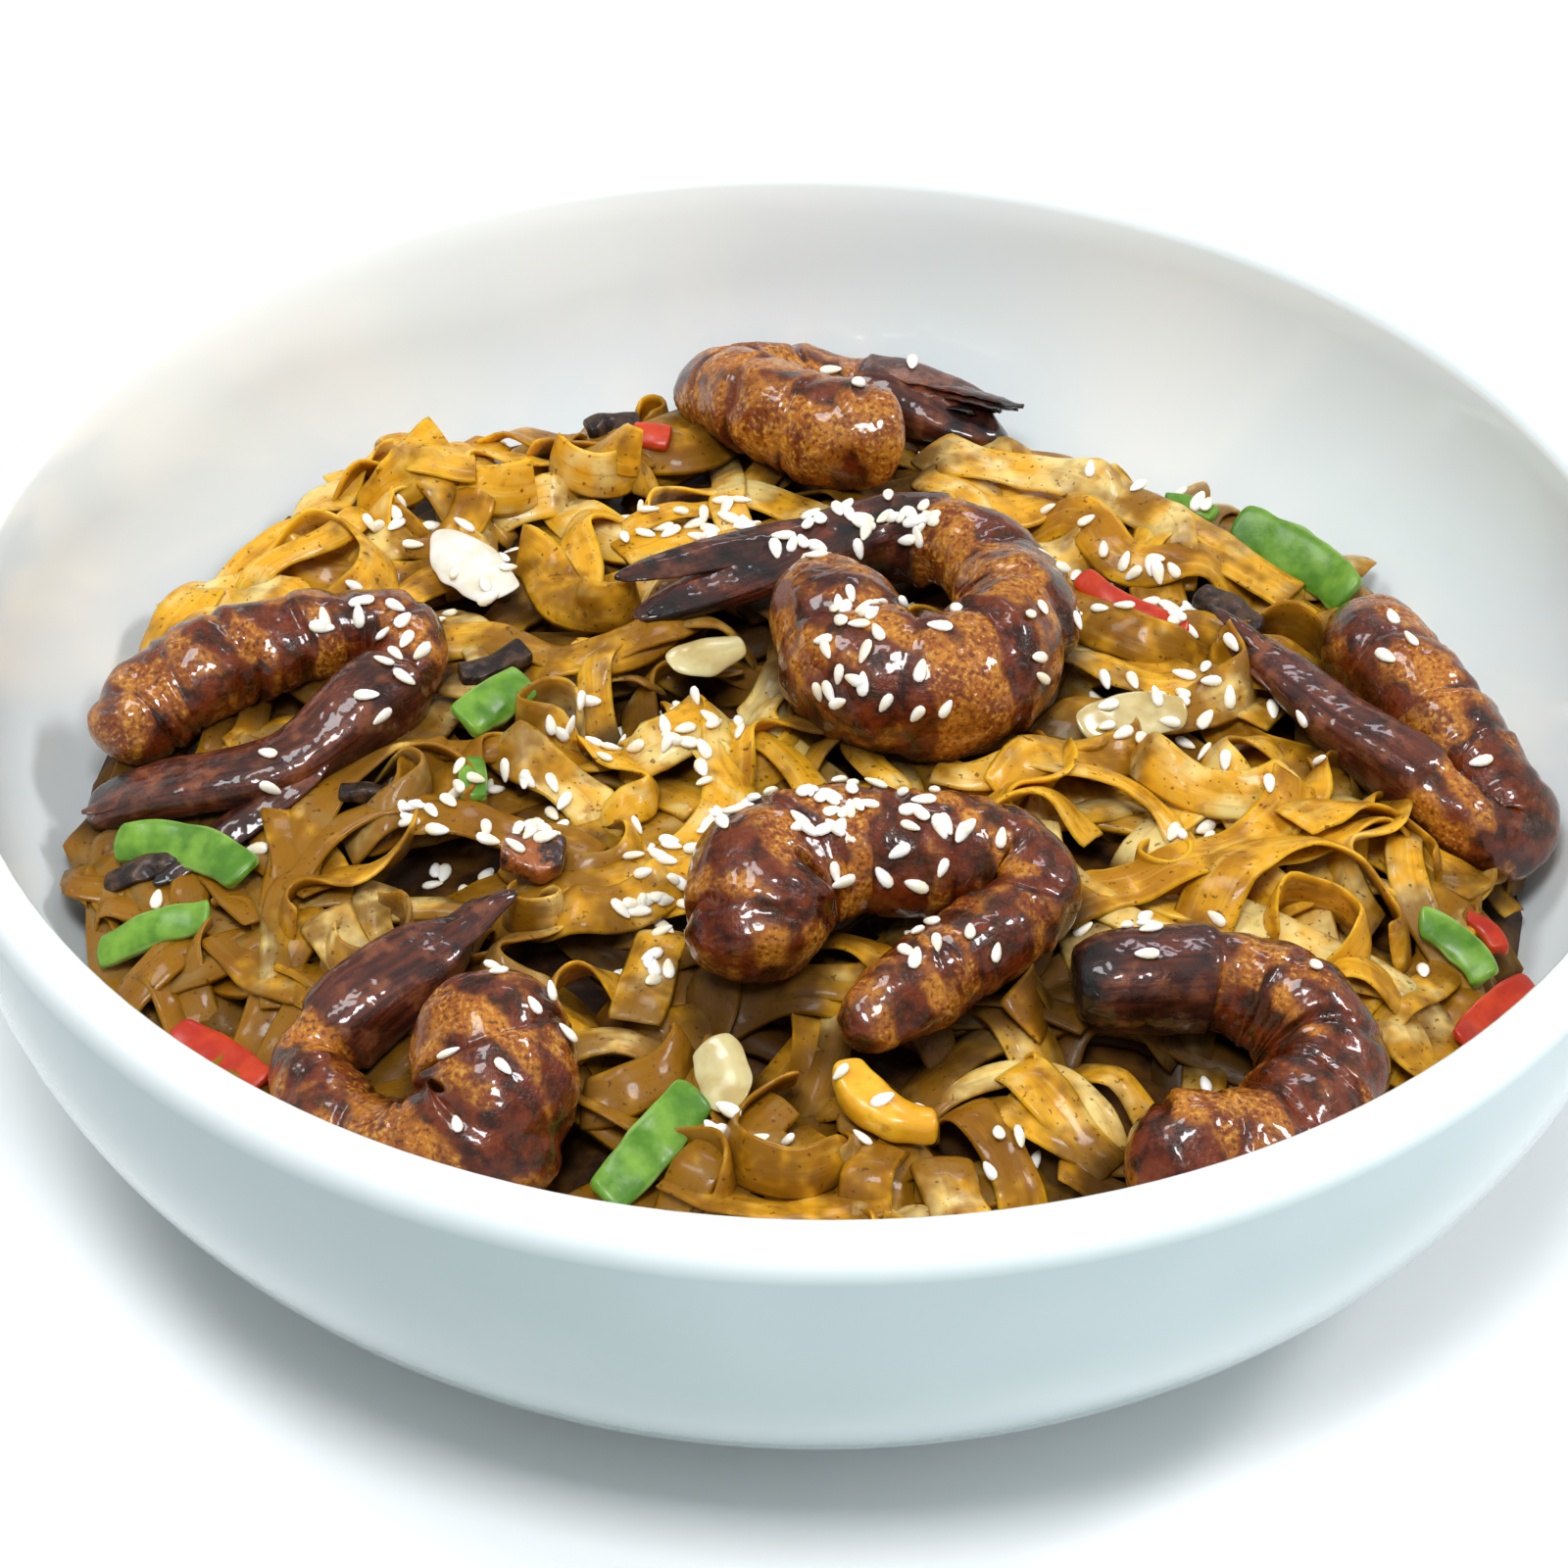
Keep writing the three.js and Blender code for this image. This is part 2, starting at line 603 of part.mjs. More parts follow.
// Drops seeds on the food from above. Each is fused to what it lands on, and one that would
// touch anything else is left out.
function sprinkle(bodies, random) {
  const targets = Object.entries(bodies).map(([name, body]) => {
    const skin = new THREE.MeshBasicMaterial({ side: THREE.DoubleSide });
    const target = new THREE.Mesh(geometryOf(body), skin);
    target.name = name;
    return target;
  });
  const ray = new THREE.Raycaster();
  const landed = {};
  for (const [x, y, reach, count] of seedPatches) {
    for (let i = 0; i < count; i++) {
      const angle = random() * 2 * Math.PI;
      const radius = reach * Math.sqrt(random());
      const seed = makeSeed(random);
      const above = new THREE.Vector3(x + radius * Math.cos(angle), y + radius * Math.sin(angle), 200);
      ray.set(above, new THREE.Vector3(0, 0, -1));
      const [hit] = ray.intersectObjects(targets);
      if (!hit || !(hit.object.name === 'noodles' || hit.object.name.startsWith('prawn'))) continue;
      const normal = hit.face.normal.z < 0 ? hit.face.normal.negate() : hit.face.normal;
      if (normal.z < 0.35) continue;
      seed.applyQuaternion(new THREE.Quaternion().setFromUnitVectors(upward, normal));
      seed.translate(hit.point.x, hit.point.y, hit.point.z);
      const body = solidOf(seed);
      const room = body.add(solidOf(seed.clone().translate(0, 0, gap)));
      const clear = Object.entries(bodies).every(([name, other]) => (
        name === hit.object.name || room.intersect(other).isEmpty()
      ));
      if (clear) (landed[hit.object.name] ??= []).push(body);
    }
  }
  return landed;
}

// ------------------------------------------------------------------ the whole

const cavity = makeCavity();
const bodies = {};
const spaces = [];
const beds = [];

for (const [name, prawn] of Object.entries(prawns)) {
  const others = spaces.reduce((body, space) => body.subtract(space), makePrawn(prawn, 0));
  bodies[`prawn_${name}`] = mainPiece(others.intersect(cavity));
  spaces.push(makePrawn(prawn, gap));
  beds.push(makePrawn(prawn, bedGap, true));
}
for (const [name, piece] of Object.entries(pieces)) {
  const others = spaces.reduce((body, space) => body.subtract(space), makePiece(piece, 0));
  bodies[name] = mainPiece(others.intersect(cavity));
  spaces.push(makePiece(piece, gap));
}

const circles = [
  ...Object.values(prawns).flatMap((prawn) => (
    prawnLine(prawn, 24).map(({ x, y, girth }) => ({ x, y, radius: nearPrawn * girth }))
  )),
  ...Object.values(pieces).flatMap((piece) => (
    routeOf({ ...piece, bendStart: piece.bend }, 4)
      .map(({ x, y }) => ({ x, y, radius: nearPiece * piece.width }))
  )),
];

const loose = [...spreadNoodles(spreadCount, seededRandom(spreadSeed)), ...shownNoodles]
  .map((noodle) => shortened(noodle, circles))
  .filter((noodle) => noodle !== null);
let heap = makeCore();
for (const noodle of loose) heap = heap.add(makeNoodle(noodle));
heap = heap.intersect(cavity);
for (const room of [...beds, ...spaces]) heap = heap.subtract(room);
bodies.noodles = mainPiece(heap);

const seeds = sprinkle(bodies, seededRandom(sprinkleSeed));
for (const [name, landed] of Object.entries(seeds)) {
  for (const seed of landed) bodies[name] = bodies[name].add(seed);
  bodies[name] = mainPiece(bodies[name]);
}
bodies.bowl = makeBowl();

// ------------------------------------------------------------------ finishes

const finishes = {
  bowl: { color: 0xf0f4f4, roughness: 0.18 },
  noodles: { color: 0xc98d2e, roughness: 0.4 },
  prawn: { color: 0x8c4318, roughness: 0.3 },
  green_pepper: { color: 0x5f9a35, roughness: 0.35 },
  red_pepper: { color: 0xc4301c, roughness: 0.35 },
  onion: { color: 0xdccfae, roughness: 0.4 },
  egg: { color: 0xe3a526, roughness: 0.45 },
  mushroom: { color: 0x33201a, roughness: 0.5 },
};

const dish = new THREE.Group();
for (const [name, body] of Object.entries(bodies)) {
  const kind = Object.keys(finishes).find((word) => name.startsWith(word));
  const geometry = geometryOf(body);
  geometry.computeVertexNormals();
  const finish = new THREE.MeshStandardMaterial({ ...finishes[kind], metalness: 0 });
  const mesh = new THREE.Mesh(geometry, finish);
  mesh.name = name;
  dish.add(mesh);
}

export default dish;
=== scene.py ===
# A deep white bowl of fried flat noodles with glazed prawns, peppers, onion, egg and sesame.
# Every form is worked out in millimetres and scaled to metres when its piece is finished.
import math
import random

import bmesh
import bpy
import numpy as np
from mathutils import Matrix, Vector, noise
from mathutils.bvhtree import BVHTree


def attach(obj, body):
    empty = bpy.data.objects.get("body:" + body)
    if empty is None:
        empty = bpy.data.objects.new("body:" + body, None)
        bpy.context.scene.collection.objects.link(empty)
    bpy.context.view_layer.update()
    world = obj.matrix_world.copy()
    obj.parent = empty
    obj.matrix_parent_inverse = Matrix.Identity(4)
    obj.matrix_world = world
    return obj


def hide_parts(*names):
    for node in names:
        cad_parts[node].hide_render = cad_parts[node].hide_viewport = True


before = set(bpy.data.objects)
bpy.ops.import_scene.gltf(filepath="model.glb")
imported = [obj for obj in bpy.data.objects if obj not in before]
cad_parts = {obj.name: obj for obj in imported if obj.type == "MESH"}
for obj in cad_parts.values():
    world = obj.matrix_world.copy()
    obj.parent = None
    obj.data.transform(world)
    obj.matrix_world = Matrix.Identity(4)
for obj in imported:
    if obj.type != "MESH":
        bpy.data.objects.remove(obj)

mm = 0.001
up = Vector((0, 0, 1))
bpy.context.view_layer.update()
scene = bpy.context.scene


def smoothStep(low, high, value):
    t = np.clip((value - low) / (high - low), 0, 1)
    return t * t * (3 - 2 * t)


# ---- camera, at the photograph's angle and distance

view = {"elevation": 37.35, "distance": 950, "lens": 161.6, "roll": 1.3, "rimHeight": 75,
        "aimAside": -3.1, "aimBelow": 19.3}


def makeCamera():
    elevation = math.radians(view["elevation"])
    back = Vector((0, -math.cos(elevation), math.sin(elevation)))
    rim = up * view["rimHeight"]
    place = rim + back * view["distance"]
    aim = rim + Vector((view["aimAside"], 0, 0)) - back.cross(Vector((1, 0, 0))) * view["aimBelow"]
    camera = bpy.data.objects.new("camera", bpy.data.cameras.new("camera"))
    scene.collection.objects.link(camera)
    camera.data.lens = view["lens"]
    camera.data.clip_start = 0.05
    turn = (aim - place).to_track_quat("-Z", "Y").to_matrix().to_4x4()
    roll = Matrix.Rotation(math.radians(view["roll"]), 4, "Z")
    camera.matrix_world = Matrix.Translation(place * mm) @ turn @ roll
    scene.camera = camera


makeCamera()
print("camera placed")


# ---- looks: small helpers that add one node each and hand on its output

def colour(word):
    parts = [int(word[i:i + 2], 16) / 255 for i in (0, 2, 4)]
    return tuple(c / 12.92 if c <= 0.04045 else ((c + 0.055) / 1.055) ** 2.4 for c in parts) + (1,)


def newLook(name, **sockets):
    look = bpy.data.materials.new(name)
    look.use_nodes = True
    shader = look.node_tree.nodes["Principled BSDF"]
    for word, value in sockets.items():
        shader.inputs[word.replace("_", " ")].default_value = value
    return look


def addNode(look, kind, inputs, output=0, **settings):
    node = look.node_tree.nodes.new("ShaderNode" + kind)
    for word, value in settings.items():
        setattr(node, word, value)
    for key, value in inputs.items():
        if isinstance(value, bpy.types.NodeSocket):
            look.node_tree.links.new(value, node.inputs[key])
        else:
            node.inputs[key].default_value = value
    return node.outputs[output]


def feed(look, socket, value):
    shader = look.node_tree.nodes["Principled BSDF"]
    look.node_tree.links.new(value, shader.inputs[socket])


def attribute(look, name):  # a number kept on the piece's own points
    return addNode(look, "Attribute", {}, output="Fac", attribute_name=name)


def blobs(look, size, detail=3, stretch=(1, 1, 1), ribbon=False):  # noise, size in millimetres
    source = addNode(look, "TexCoord", {}, output="UV" if ribbon else "Object")
    unit = 1 if ribbon else 1 / mm
    scale = tuple(unit / (size * s) for s in stretch)
    place = addNode(look, "Mapping", {"Vector": source, "Scale": scale})
    return addNode(look, "TexNoise", {"Vector": place, "Scale": 1, "Detail": detail, "Roughness": 0.55})


def band(look, value, low, high, start=0, end=1):
    inputs = {"Value": value, "From Min": low, "From Max": high, "To Min": start, "To Max": end}
    return addNode(look, "MapRange", inputs, interpolation_type="SMOOTHSTEP")


def maths(look, operation, first, second):
    return addNode(look, "Math", {0: first, 1: second}, operation=operation)


def blend(look, amount, first, second):
    first, second = (colour(c) if isinstance(c, str) else c for c in (first, second))
    inputs = {0: amount, 6: first, 7: second}
    return addNode(look, "Mix", inputs, output=2, data_type="RGBA")


def bumps(look, height, distance, under=None, socket="Normal"):  # distance in millimetres
    inputs = {"Height": height, "Distance": distance * mm, "Strength": 1}
    if under:
        inputs["Normal"] = under
    normal = addNode(look, "Bump", inputs)
    feed(look, socket, normal)
    return normal


def addObject(bm, name, look):
    mesh = bpy.data.meshes.new(name)
    bm.to_mesh(mesh)
    bm.free()
    mesh.materials.append(look)
    made = bpy.data.objects.new(name, mesh)
    scene.collection.objects.link(made)
    return made


def finishPiece(bm, name, look, replaced=()):
    bmesh.ops.scale(bm, vec=(mm, mm, mm), verts=bm.verts)
    for face in bm.faces:
        face.smooth = True
    piece = addObject(bm, name, look)
    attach(piece, "root")
    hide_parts(*replaced)
    return piece


def addModifier(piece, kind, **settings):
    modifier = piece.modifiers.new(kind.lower(), kind)
    for word, value in settings.items():
        setattr(modifier, word, value)


def layUv(bm, name, layers):  # from the places kept on the points
    uv = bm.loops.layers.uv.new(name)
    for face in bm.faces:
        for loop in face.loops:
            loop[uv].uv = (loop.vert[layers["u"]], loop.vert[layers["v"]])


def subdivide(piece, levels):
    addModifier(piece, "SUBSURF", levels=levels, render_levels=levels)


# ---- bowl

bowl = {"height": 75, "rimRadius": 120, "wall": 5.5, "footRadius": 52, "footWidth": 5, "footHeight": 2,
        "footRecess": 1.8, "floorRadius": 48, "floorHeight": 7, "roundness": 2.12,
        "wallSteps": 26, "lipSteps": 10, "around": 144, "footEdge": 0.5, "outerShadeFade": (-3, 1)}
lipRadius = bowl["wall"] / 2
lipHeight = bowl["height"] - lipRadius
innerRim = bowl["rimRadius"] - bowl["wall"]


def wallCurve(lowX, lowZ, highX, highZ):
    points = []
    for i in range(bowl["wallSteps"] + 1):
        angle = math.pi / 2 * i / bowl["wallSteps"]
        outward = math.sin(angle) ** (2 / bowl["roundness"])
        drop = abs(math.cos(angle)) ** (2 / bowl["roundness"])
        points.append((lowX + (highX - lowX) * outward, highZ - (highZ - lowZ) * drop))
    return points


def innerRadius(z):  # the inner wall's radius at a height
    drop = np.clip((lipHeight - z) / (lipHeight - bowl["floorHeight"]), 0, 1)
    share = (1 - drop ** bowl["roundness"]) ** (1 / bowl["roundness"])
    return bowl["floorRadius"] + (innerRim - bowl["floorRadius"]) * share


def glazeLook():
    look = newLook("white glaze", Roughness=0.16, Coat_Weight=0.35, Coat_Roughness=0.08)
    cloud = band(look, blobs(look, 60, 2), 0.35, 0.7)
    # painted shade: the outer wall gets a grey-blue colour for the shade it sits in, though the real glaze is
    # white all round; the inside's faint cool tint offsets the warm light the noodles bounce onto it
    outside = blend(look, cloud, "92a2a3", "9aa9ab")
    inside = blend(look, cloud, "f1fafb", "f7fdfd")
    feed(look, "Base Color", blend(look, attribute(look, "inside"), outside, inside))
    bumps(look, blobs(look, 26, 0), 0.12)
    return look


def makeBowl():
    footInner = bowl["footRadius"] - bowl["footWidth"]
    profile = [(0, bowl["footRecess"]), (footInner, bowl["footRecess"])]
    profile += [(footInner, 0), (bowl["footRadius"], 0)]
    profile += wallCurve(bowl["footRadius"], bowl["footHeight"], bowl["rimRadius"], lipHeight)
    for i in range(1, bowl["lipSteps"]):
        angle = math.pi * i / bowl["lipSteps"]
        profile.append((bowl["rimRadius"] - lipRadius + lipRadius * math.cos(angle),
                        lipHeight + lipRadius * math.sin(angle)))
    profile += wallCurve(bowl["floorRadius"], bowl["floorHeight"], innerRim, lipHeight)[::-1]
    profile.append((0, bowl["floorHeight"]))
    bm = bmesh.new()
    chain = [bm.verts.new((x, 0, z)) for x, z in profile]
    edges = [bm.edges.new(pair) for pair in zip(chain, chain[1:])]
    bmesh.ops.spin(bm, geom=chain + edges, cent=(0, 0, 0), axis=up, angle=2 * math.pi,
                   steps=bowl["around"], use_merge=True)
    bmesh.ops.remove_doubles(bm, verts=bm.verts, dist=0.01)
    bmesh.ops.recalc_face_normals(bm, faces=bm.faces)
    # this mask switches the outer wall to its grey colour of painted shade, fading out around the lip
    inside = bm.verts.layers.float.new("inside")  # from 0 on the outer wall to 1 on the lip and inside
    for vert in bm.verts:
        radius, z = math.hypot(vert.co.x, vert.co.y), vert.co.z
        wall = float(innerRadius(z))
        middle = bowl["rimRadius"] - (bowl["rimRadius"] - wall) * 0.5
        fadeStart, fadeEnd = (lipHeight + rise for rise in bowl["outerShadeFade"])
        lip = float(smoothStep(fadeStart, fadeEnd, z))
        isInside = radius < middle and radius < wall + 1 and z > bowl["floorHeight"] - 1
        vert[inside] = max(lip, float(isInside))
    piece = finishPiece(bm, "bowl_glazed", glazeLook(), ["bowl"])
    addModifier(piece, "BEVEL", width=bowl["footEdge"] * mm, segments=2, angle_limit=math.radians(50))


makeBowl()
print("bowl made")


# ---- heap: its top, the same rise and dips as the solid's, and the dark bed inside it, partly sauce and partly painted shade

heap = {"crown": 53, "edge": 36, "edgeTilt": 4, "radius": 104, "rise": 6, "riseAngle": 135, "riseWidth": 38,
        "dip": 9, "dipAngle": 208, "dipWidth": 20, "bedDrop": 6.5, "lump": 0.8,
        "bedAround": 72, "bedRings": 48, "wallGap": 0.5, "floorGap": 0.4}


def heapTop(x, y):
    reach = np.hypot(x, y) / heap["radius"]
    angle = np.arctan2(y, x)
    edge = heap["edge"] + heap["edgeTilt"] * np.sin(angle)

    def bump(middle, width):
        away = (np.degrees(angle) - middle + 900) % 360 - 180
        return np.exp(-(away / width) ** 2)

    rise = heap["rise"] * bump(heap["riseAngle"], heap["riseWidth"])
    rise = rise - heap["dip"] * bump(heap["dipAngle"], heap["dipWidth"])
    return edge + (heap["crown"] - edge) * (1 - reach ** 3) + rise * np.minimum(reach, 1) ** 4


def bedTop(x, y):
    lumps = heap["lump"] * np.sin(x / 6.1 + 2 * np.sin(y / 17)) * np.sin(y / 5.3 + 2 * np.sin(x / 19))
    return heapTop(x, y) + lumps - heap["bedDrop"]


def sauceAndShadeLook():
    look = newLook("dark sauce and painted shade", Roughness=0.6, Coat_Weight=0.1, Coat_Roughness=0.2, Specular_IOR_Level=0.15)
    patch = band(look, blobs(look, 9, 4), 0.4, 0.65)
    # painted shade: the bed's near-black browns stand partly for sauce and partly for the shade deep between
    # the noodles
    feed(look, "Base Color", blend(look, patch, "201004", "5c3a10"))
    bumps(look, blobs(look, 3, 3), 0.5)
    return look


def makeBed():
    bm = bmesh.new()
    bmesh.ops.create_uvsphere(bm, u_segments=heap["bedAround"], v_segments=heap["bedRings"], radius=1)
    floor = bowl["floorHeight"] + heap["floorGap"]
    for vert in bm.verts:
        fall = math.acos(max(-1, min(1, vert.co.z))) / math.pi  # 0 at the crown, 1 under it
        angle = math.atan2(vert.co.y, vert.co.x)
        across = Vector((math.cos(angle), math.sin(angle), 0))
        rim = across * heap["radius"]
        rimZ = float(bedTop(rim.x, rim.y))
        if fall <= 0.6:  # the bed's top, then its side down to 0.92, then its underside
            spot = rim * (fall / 0.6) * (float(innerRadius(rimZ)) - heap["wallGap"]) / heap["radius"]
            vert.co = (spot.x, spot.y, float(bedTop(spot.x, spot.y)))
        else:
            down = (fall - 0.6) / 0.4
            z = rimZ + (floor - rimZ) * min(1, down / 0.8)
            inward = max(0, (down - 0.8) / 0.2)
            radius = (float(innerRadius(z)) - heap["wallGap"]) * (1 - inward)
            vert.co = across * radius + up * z
    bmesh.ops.remove_doubles(bm, verts=bm.verts, dist=0.02)
    bmesh.ops.recalc_face_normals(bm, faces=bm.faces)
    return finishPiece(bm, "noodle_bed", sauceAndShadeLook(), ["noodles"])


bed = makeBed()
print("bed of the heap made")


# ---- prawns: each follows a smooth line through its rows of x, y, z and girth, from head to tail tip
# burnt: how charred the tail is; shell: where along the line its shell starts; flat: the tail's height for
# its width; roll: how far the fan is rolled, in degrees; glazed: more or less sauce on the flesh
# blades, the fan's plates: start along the line, place aside, angle, length, width and lift

prawns = {
    "left": {
        "burnt": 0.25, "shell": 0.53, "flat": 0.55, "roll": 0, "glazed": 0.1, "line": [
            (-97, 10, 45, 5.4), (-92.5, 15.5, 48, 6.8), (-86, 19, 51, 7.2), (-78, 23, 53, 6.8),
            (-68.5, 25.5, 54.5, 6.4), (-60.5, 26, 55.5, 5.8), (-55.5, 22, 55.5, 5.2), (-57, 16, 54.5, 5.4),
            (-62, 9.5, 53.5, 5.6), (-70.5, 2.5, 50.5, 4.8), (-80, 1, 48, 5), (-90, 2, 44.5, 5),
            (-96.5, 2.5, 41.5, 4), (-99, 2.5, 39.5, 2.6)],
        "blades": [(0.76, -2.4, 3, 25, 6.4, 1.6), (0.68, 3.6, -2, 29, 8, 0.6)]},
    "back": {
        "burnt": 0.65, "shell": 0.7, "flat": 0.35, "roll": -42, "glazed": -0.05, "line": [
            (10.5, 77.5, 52.5, 6.6), (7, 76.5, 54, 8), (-0.5, 80.5, 53.5, 7.8), (-7, 84.5, 53, 7.8),
            (-12, 91, 50.5, 7.2), (-14, 96, 48.5, 6.4), (-9.5, 101, 46, 5.8), (-1.5, 102.5, 45, 5.6),
            (7, 101.5, 44.5, 5.2), (13.5, 98.5, 45.5, 5.6), (19, 94.5, 46.5, 6.2), (24.5, 91.5, 46.5, 5),
            (27.5, 92.5, 44, 1.8)],
        "blades": [(0.77, -3, 17, 19, 8.5, 2.4), (0.77, 0, 0, 21, 9, 2.6), (0.77, 3, -17, 19, 9, 1.6),
                   (0.77, 5, -34, 15, 8, 0.2)]},
    "centre": {
        "burnt": 0.75, "shell": 0.62, "flat": 0.45, "roll": -12, "glazed": 0.02, "line": [
            (2, 35.5, 58, 5.6), (3, 23.5, 60, 9), (8.5, 11, 60.5, 10.2), (16.5, 9.5, 60.5, 10.2),
            (24.5, 15, 60, 9.8), (28.5, 27, 59, 8.8), (25.5, 39.5, 58, 7.4), (18.5, 47, 57, 6.4),
            (10.5, 50, 56, 5.6), (1, 46, 56.5, 5.2), (-9.5, 38.5, 56.5, 4.4), (-19, 32.5, 56.5, 3),
            (-25, 29, 56, 1.2)],
        "blades": [(0.74, -2.4, -1, 34, 8, 1.8), (0.74, 3, 1, 32, 7.4, 0.6)]},
    "right": {
        "burnt": 0.35, "shell": 0.61, "flat": 0.6, "roll": 12, "glazed": 0.08, "line": [
            (78.5, 44, 47.5, 5.4), (80.5, 33.5, 49.5, 7.2), (86, 22.5, 49, 7.2), (92.5, 13.5, 46, 6.8),
            (97, 6, 43.5, 6.2), (97, 2, 42, 5.4), (92, 1.5, 44.5, 5.2), (86.5, 5, 47.5, 5), (80, 10, 50, 4.8),
            (74, 16, 51, 4.4), (67.5, 24, 52, 3.8), (62.5, 31, 52, 2.6), (59.5, 36.5, 51.5, 1)],
        "blades": [(0.8, -1.6, 4, 24, 5.2, 1.2), (0.8, 2.2, -4, 20, 5, -1)]},
    "middle": {
        "burnt": 0, "shell": 0.98, "flat": 1, "roll": 0, "glazed": 0.1, "line": [
            (-6.5, -48, 55.5, 6), (-6.5, -42.5, 58.5, 9.2), (-5, -33.5, 61, 10.2), (3, -28, 60.5, 9.2),
            (12, -27, 60.5, 8.8), (21.5, -26, 60, 8.2), (28, -27, 58.5, 7), (30, -33, 57.5, 6.4),
            (24.5, -41, 57, 6.4), (16, -49, 56.5, 6.4), (9, -55, 55, 4.6), (5.5, -56.5, 53, 1.6)],
        "blades": []},
    "front_left": {
        "burnt": 0.35, "shell": 0.72, "flat": 0.5, "roll": 10, "glazed": 0.06, "line": [
            (-43.5, -51.5, 52.5, 5.8), (-41, -60, 54, 10.2), (-39, -67, 52.5, 10.6), (-41, -73, 49, 10.2),
            (-49, -73, 45, 8.4), (-57.5, -67.5, 43, 7), (-62.5, -60, 43.5, 6.2), (-64, -54, 44.5, 5.4),
            (-60, -49.5, 47.5, 5.6), (-54, -45, 51, 6), (-48.5, -40, 53, 5), (-45, -35, 53.5, 1.6)],
        "blades": [(0.86, -1.4, 0, 19, 6, 1.4), (0.86, 1.8, 0, 17, 5.6, -1.6)]},
    "front_right": {
        "burnt": 0.6, "shell": 0.76, "flat": 0.85, "roll": 0, "glazed": 0.12, "line": [
            (42.5, -73, 45.5, 5.4), (48, -73, 46.5, 9.4), (58, -69.5, 45.5, 9.6), (65.5, -62.5, 45.5, 9),
            (69.5, -53.5, 46.5, 8.2), (67, -46.5, 49, 7.8), (60.5, -42.5, 51.5, 7.2), (54, -42, 52.5, 6.4),
            (46.5, -43.5, 53.5, 6.4), (39.5, -44.5, 54, 6), (35.5, -45, 54, 4.4)],
        "blades": [(0.84, -3.4, 0, 12, 7, 2.8), (0.83, 3.6, 2, 12, 6, 2.2)]},
}
prawnForm = {"rings": 190, "around": 48, "segments": 6, "neck": 0.06, "headCap": 0.035, "tailCap": 0.012,
             "shellStep": 1.05, "boxy": 0.72, "creaseFront": 0.06, "creaseBack": 0.13, "creaseDepth": 0.11,
             "swell": 0.05, "folds": 2.5, "foldDepth": 0.07, "lumps": ((10, 1.2), (4.2, 0.5), (1.7, 0.14))}
prawnGlaze = {"crease": 0.32, "smear": 0.42, "fold": 0.25, "outside": 0.1, "inside": 0.04}
blade = {"around": 18, "rings": 26, "halfThick": 0.55, "ridge": 0.5, "ridgeWidth": 0.8, "dish": 0.05,
         "droop": 0.9, "lean": 0.15}


def alongLine(rows, count):  # a smooth line through the rows, cut into count equal steps
    points = np.array(rows, float)
    padded = np.concatenate([[2 * points[0] - points[1]], points, [2 * points[-1] - points[-2]]])
    place = np.linspace(0, len(points) - 1, 401)
    k = np.minimum(place.astype(int), len(points) - 2)
    t = (place - k)[:, None]
    a, b, c, d = (padded[k + j] for j in range(4))
    dense = b + 0.5 * t * (c - a + t * (2 * a - 5 * b + 4 * c - d + t * (3 * (b - c) + d - a)))
    run = np.concatenate([[0], np.cumsum(np.linalg.norm(np.diff(dense[:, :3], axis=0), axis=1))])
    at = np.linspace(0, run[-1], count + 1)
    return np.stack([np.interp(at, run, column) for column in dense.T], 1), run[-1]


def prawnSize(prawn, girth, s):  # half width and half height along the body, s from head to tail tip
    head = math.sqrt(max(0, 1 - (1 - min(1, s / prawnForm["headCap"])) ** 2.2))
    end = math.sqrt(max(0, 1 - max(0, (s - 1 + prawnForm["tailCap"]) / prawnForm["tailCap"]) ** 2))
    wide = girth * head * end
    tail = float(smoothStep(prawn["shell"], prawn["shell"] + 0.25, s))
    return wide, wide * (1 + (prawn["flat"] - 1) * tail)


def prawnFleshLook():
    look = newLook("glazed prawn", Roughness=0.42, Coat_Weight=0.75, Coat_Roughness=0.09,
                   Specular_IOR_Level=0.2)
    glaze, shell, char = (attribute(look, word) for word in ("glaze", "shell", "char"))
    grain = blobs(look, 0.7, 3)
    mottle = blobs(look, 3.4, 3)
    patch = blobs(look, 9, 2)
    flesh = blend(look, band(look, patch, 0.38, 0.62), "7a3604", "a65e12")
    flesh = blend(look, band(look, mottle, 0.44, 0.66, 0, 0.7), flesh, "bc7a22")
    flesh = blend(look, band(look, grain, 0.53, 0.66, 0, 0.6), flesh, "d4a044")
    flesh = blend(look, band(look, grain, 0.34, 0.48, 0.75, 0), flesh, "461804")
    smear = maths(look, "MULTIPLY", blobs(look, 5, 4), 0.7)
    wet = maths(look, "ADD", maths(look, "ADD", smear, maths(look, "MULTIPLY", grain, 0.2)), glaze)
    sauce = blend(look, band(look, mottle, 0.34, 0.64), "1c0602", "64200a")
    skin = blend(look, band(look, wet, 0.46, 0.6, 0, 0.92), flesh, sauce)
    streak = blobs(look, 1, 3, stretch=(8, 0.8, 1), ribbon=True)
    tail = blend(look, band(look, streak, 0.34, 0.7), "34140a", "602a16")
    tail = blend(look, band(look, mottle, 0.48, 0.7, 0, 0.65), tail, "8c5030")
    tail = blend(look, band(look, patch, 0.32, 0.52, 0.7, 0), tail, "1a0808")
    skin = blend(look, shell, skin, tail)
    burnt = maths(look, "ADD", maths(look, "MULTIPLY", char, 0.6), blobs(look, 6, 3))
    skin = blend(look, band(look, burnt, 0.78, 1.16), skin, "0e0a09")
    feed(look, "Base Color", skin)
    feed(look, "Roughness", band(look, wet, 0.44, 0.66, 0.52, 0.26))
    lines = bumps(look, streak, 0.12)
    bumps(look, grain, 0.16, lines)
    bumps(look, blobs(look, 2.4, 1), 0.3, socket="Coat Normal")
    return look


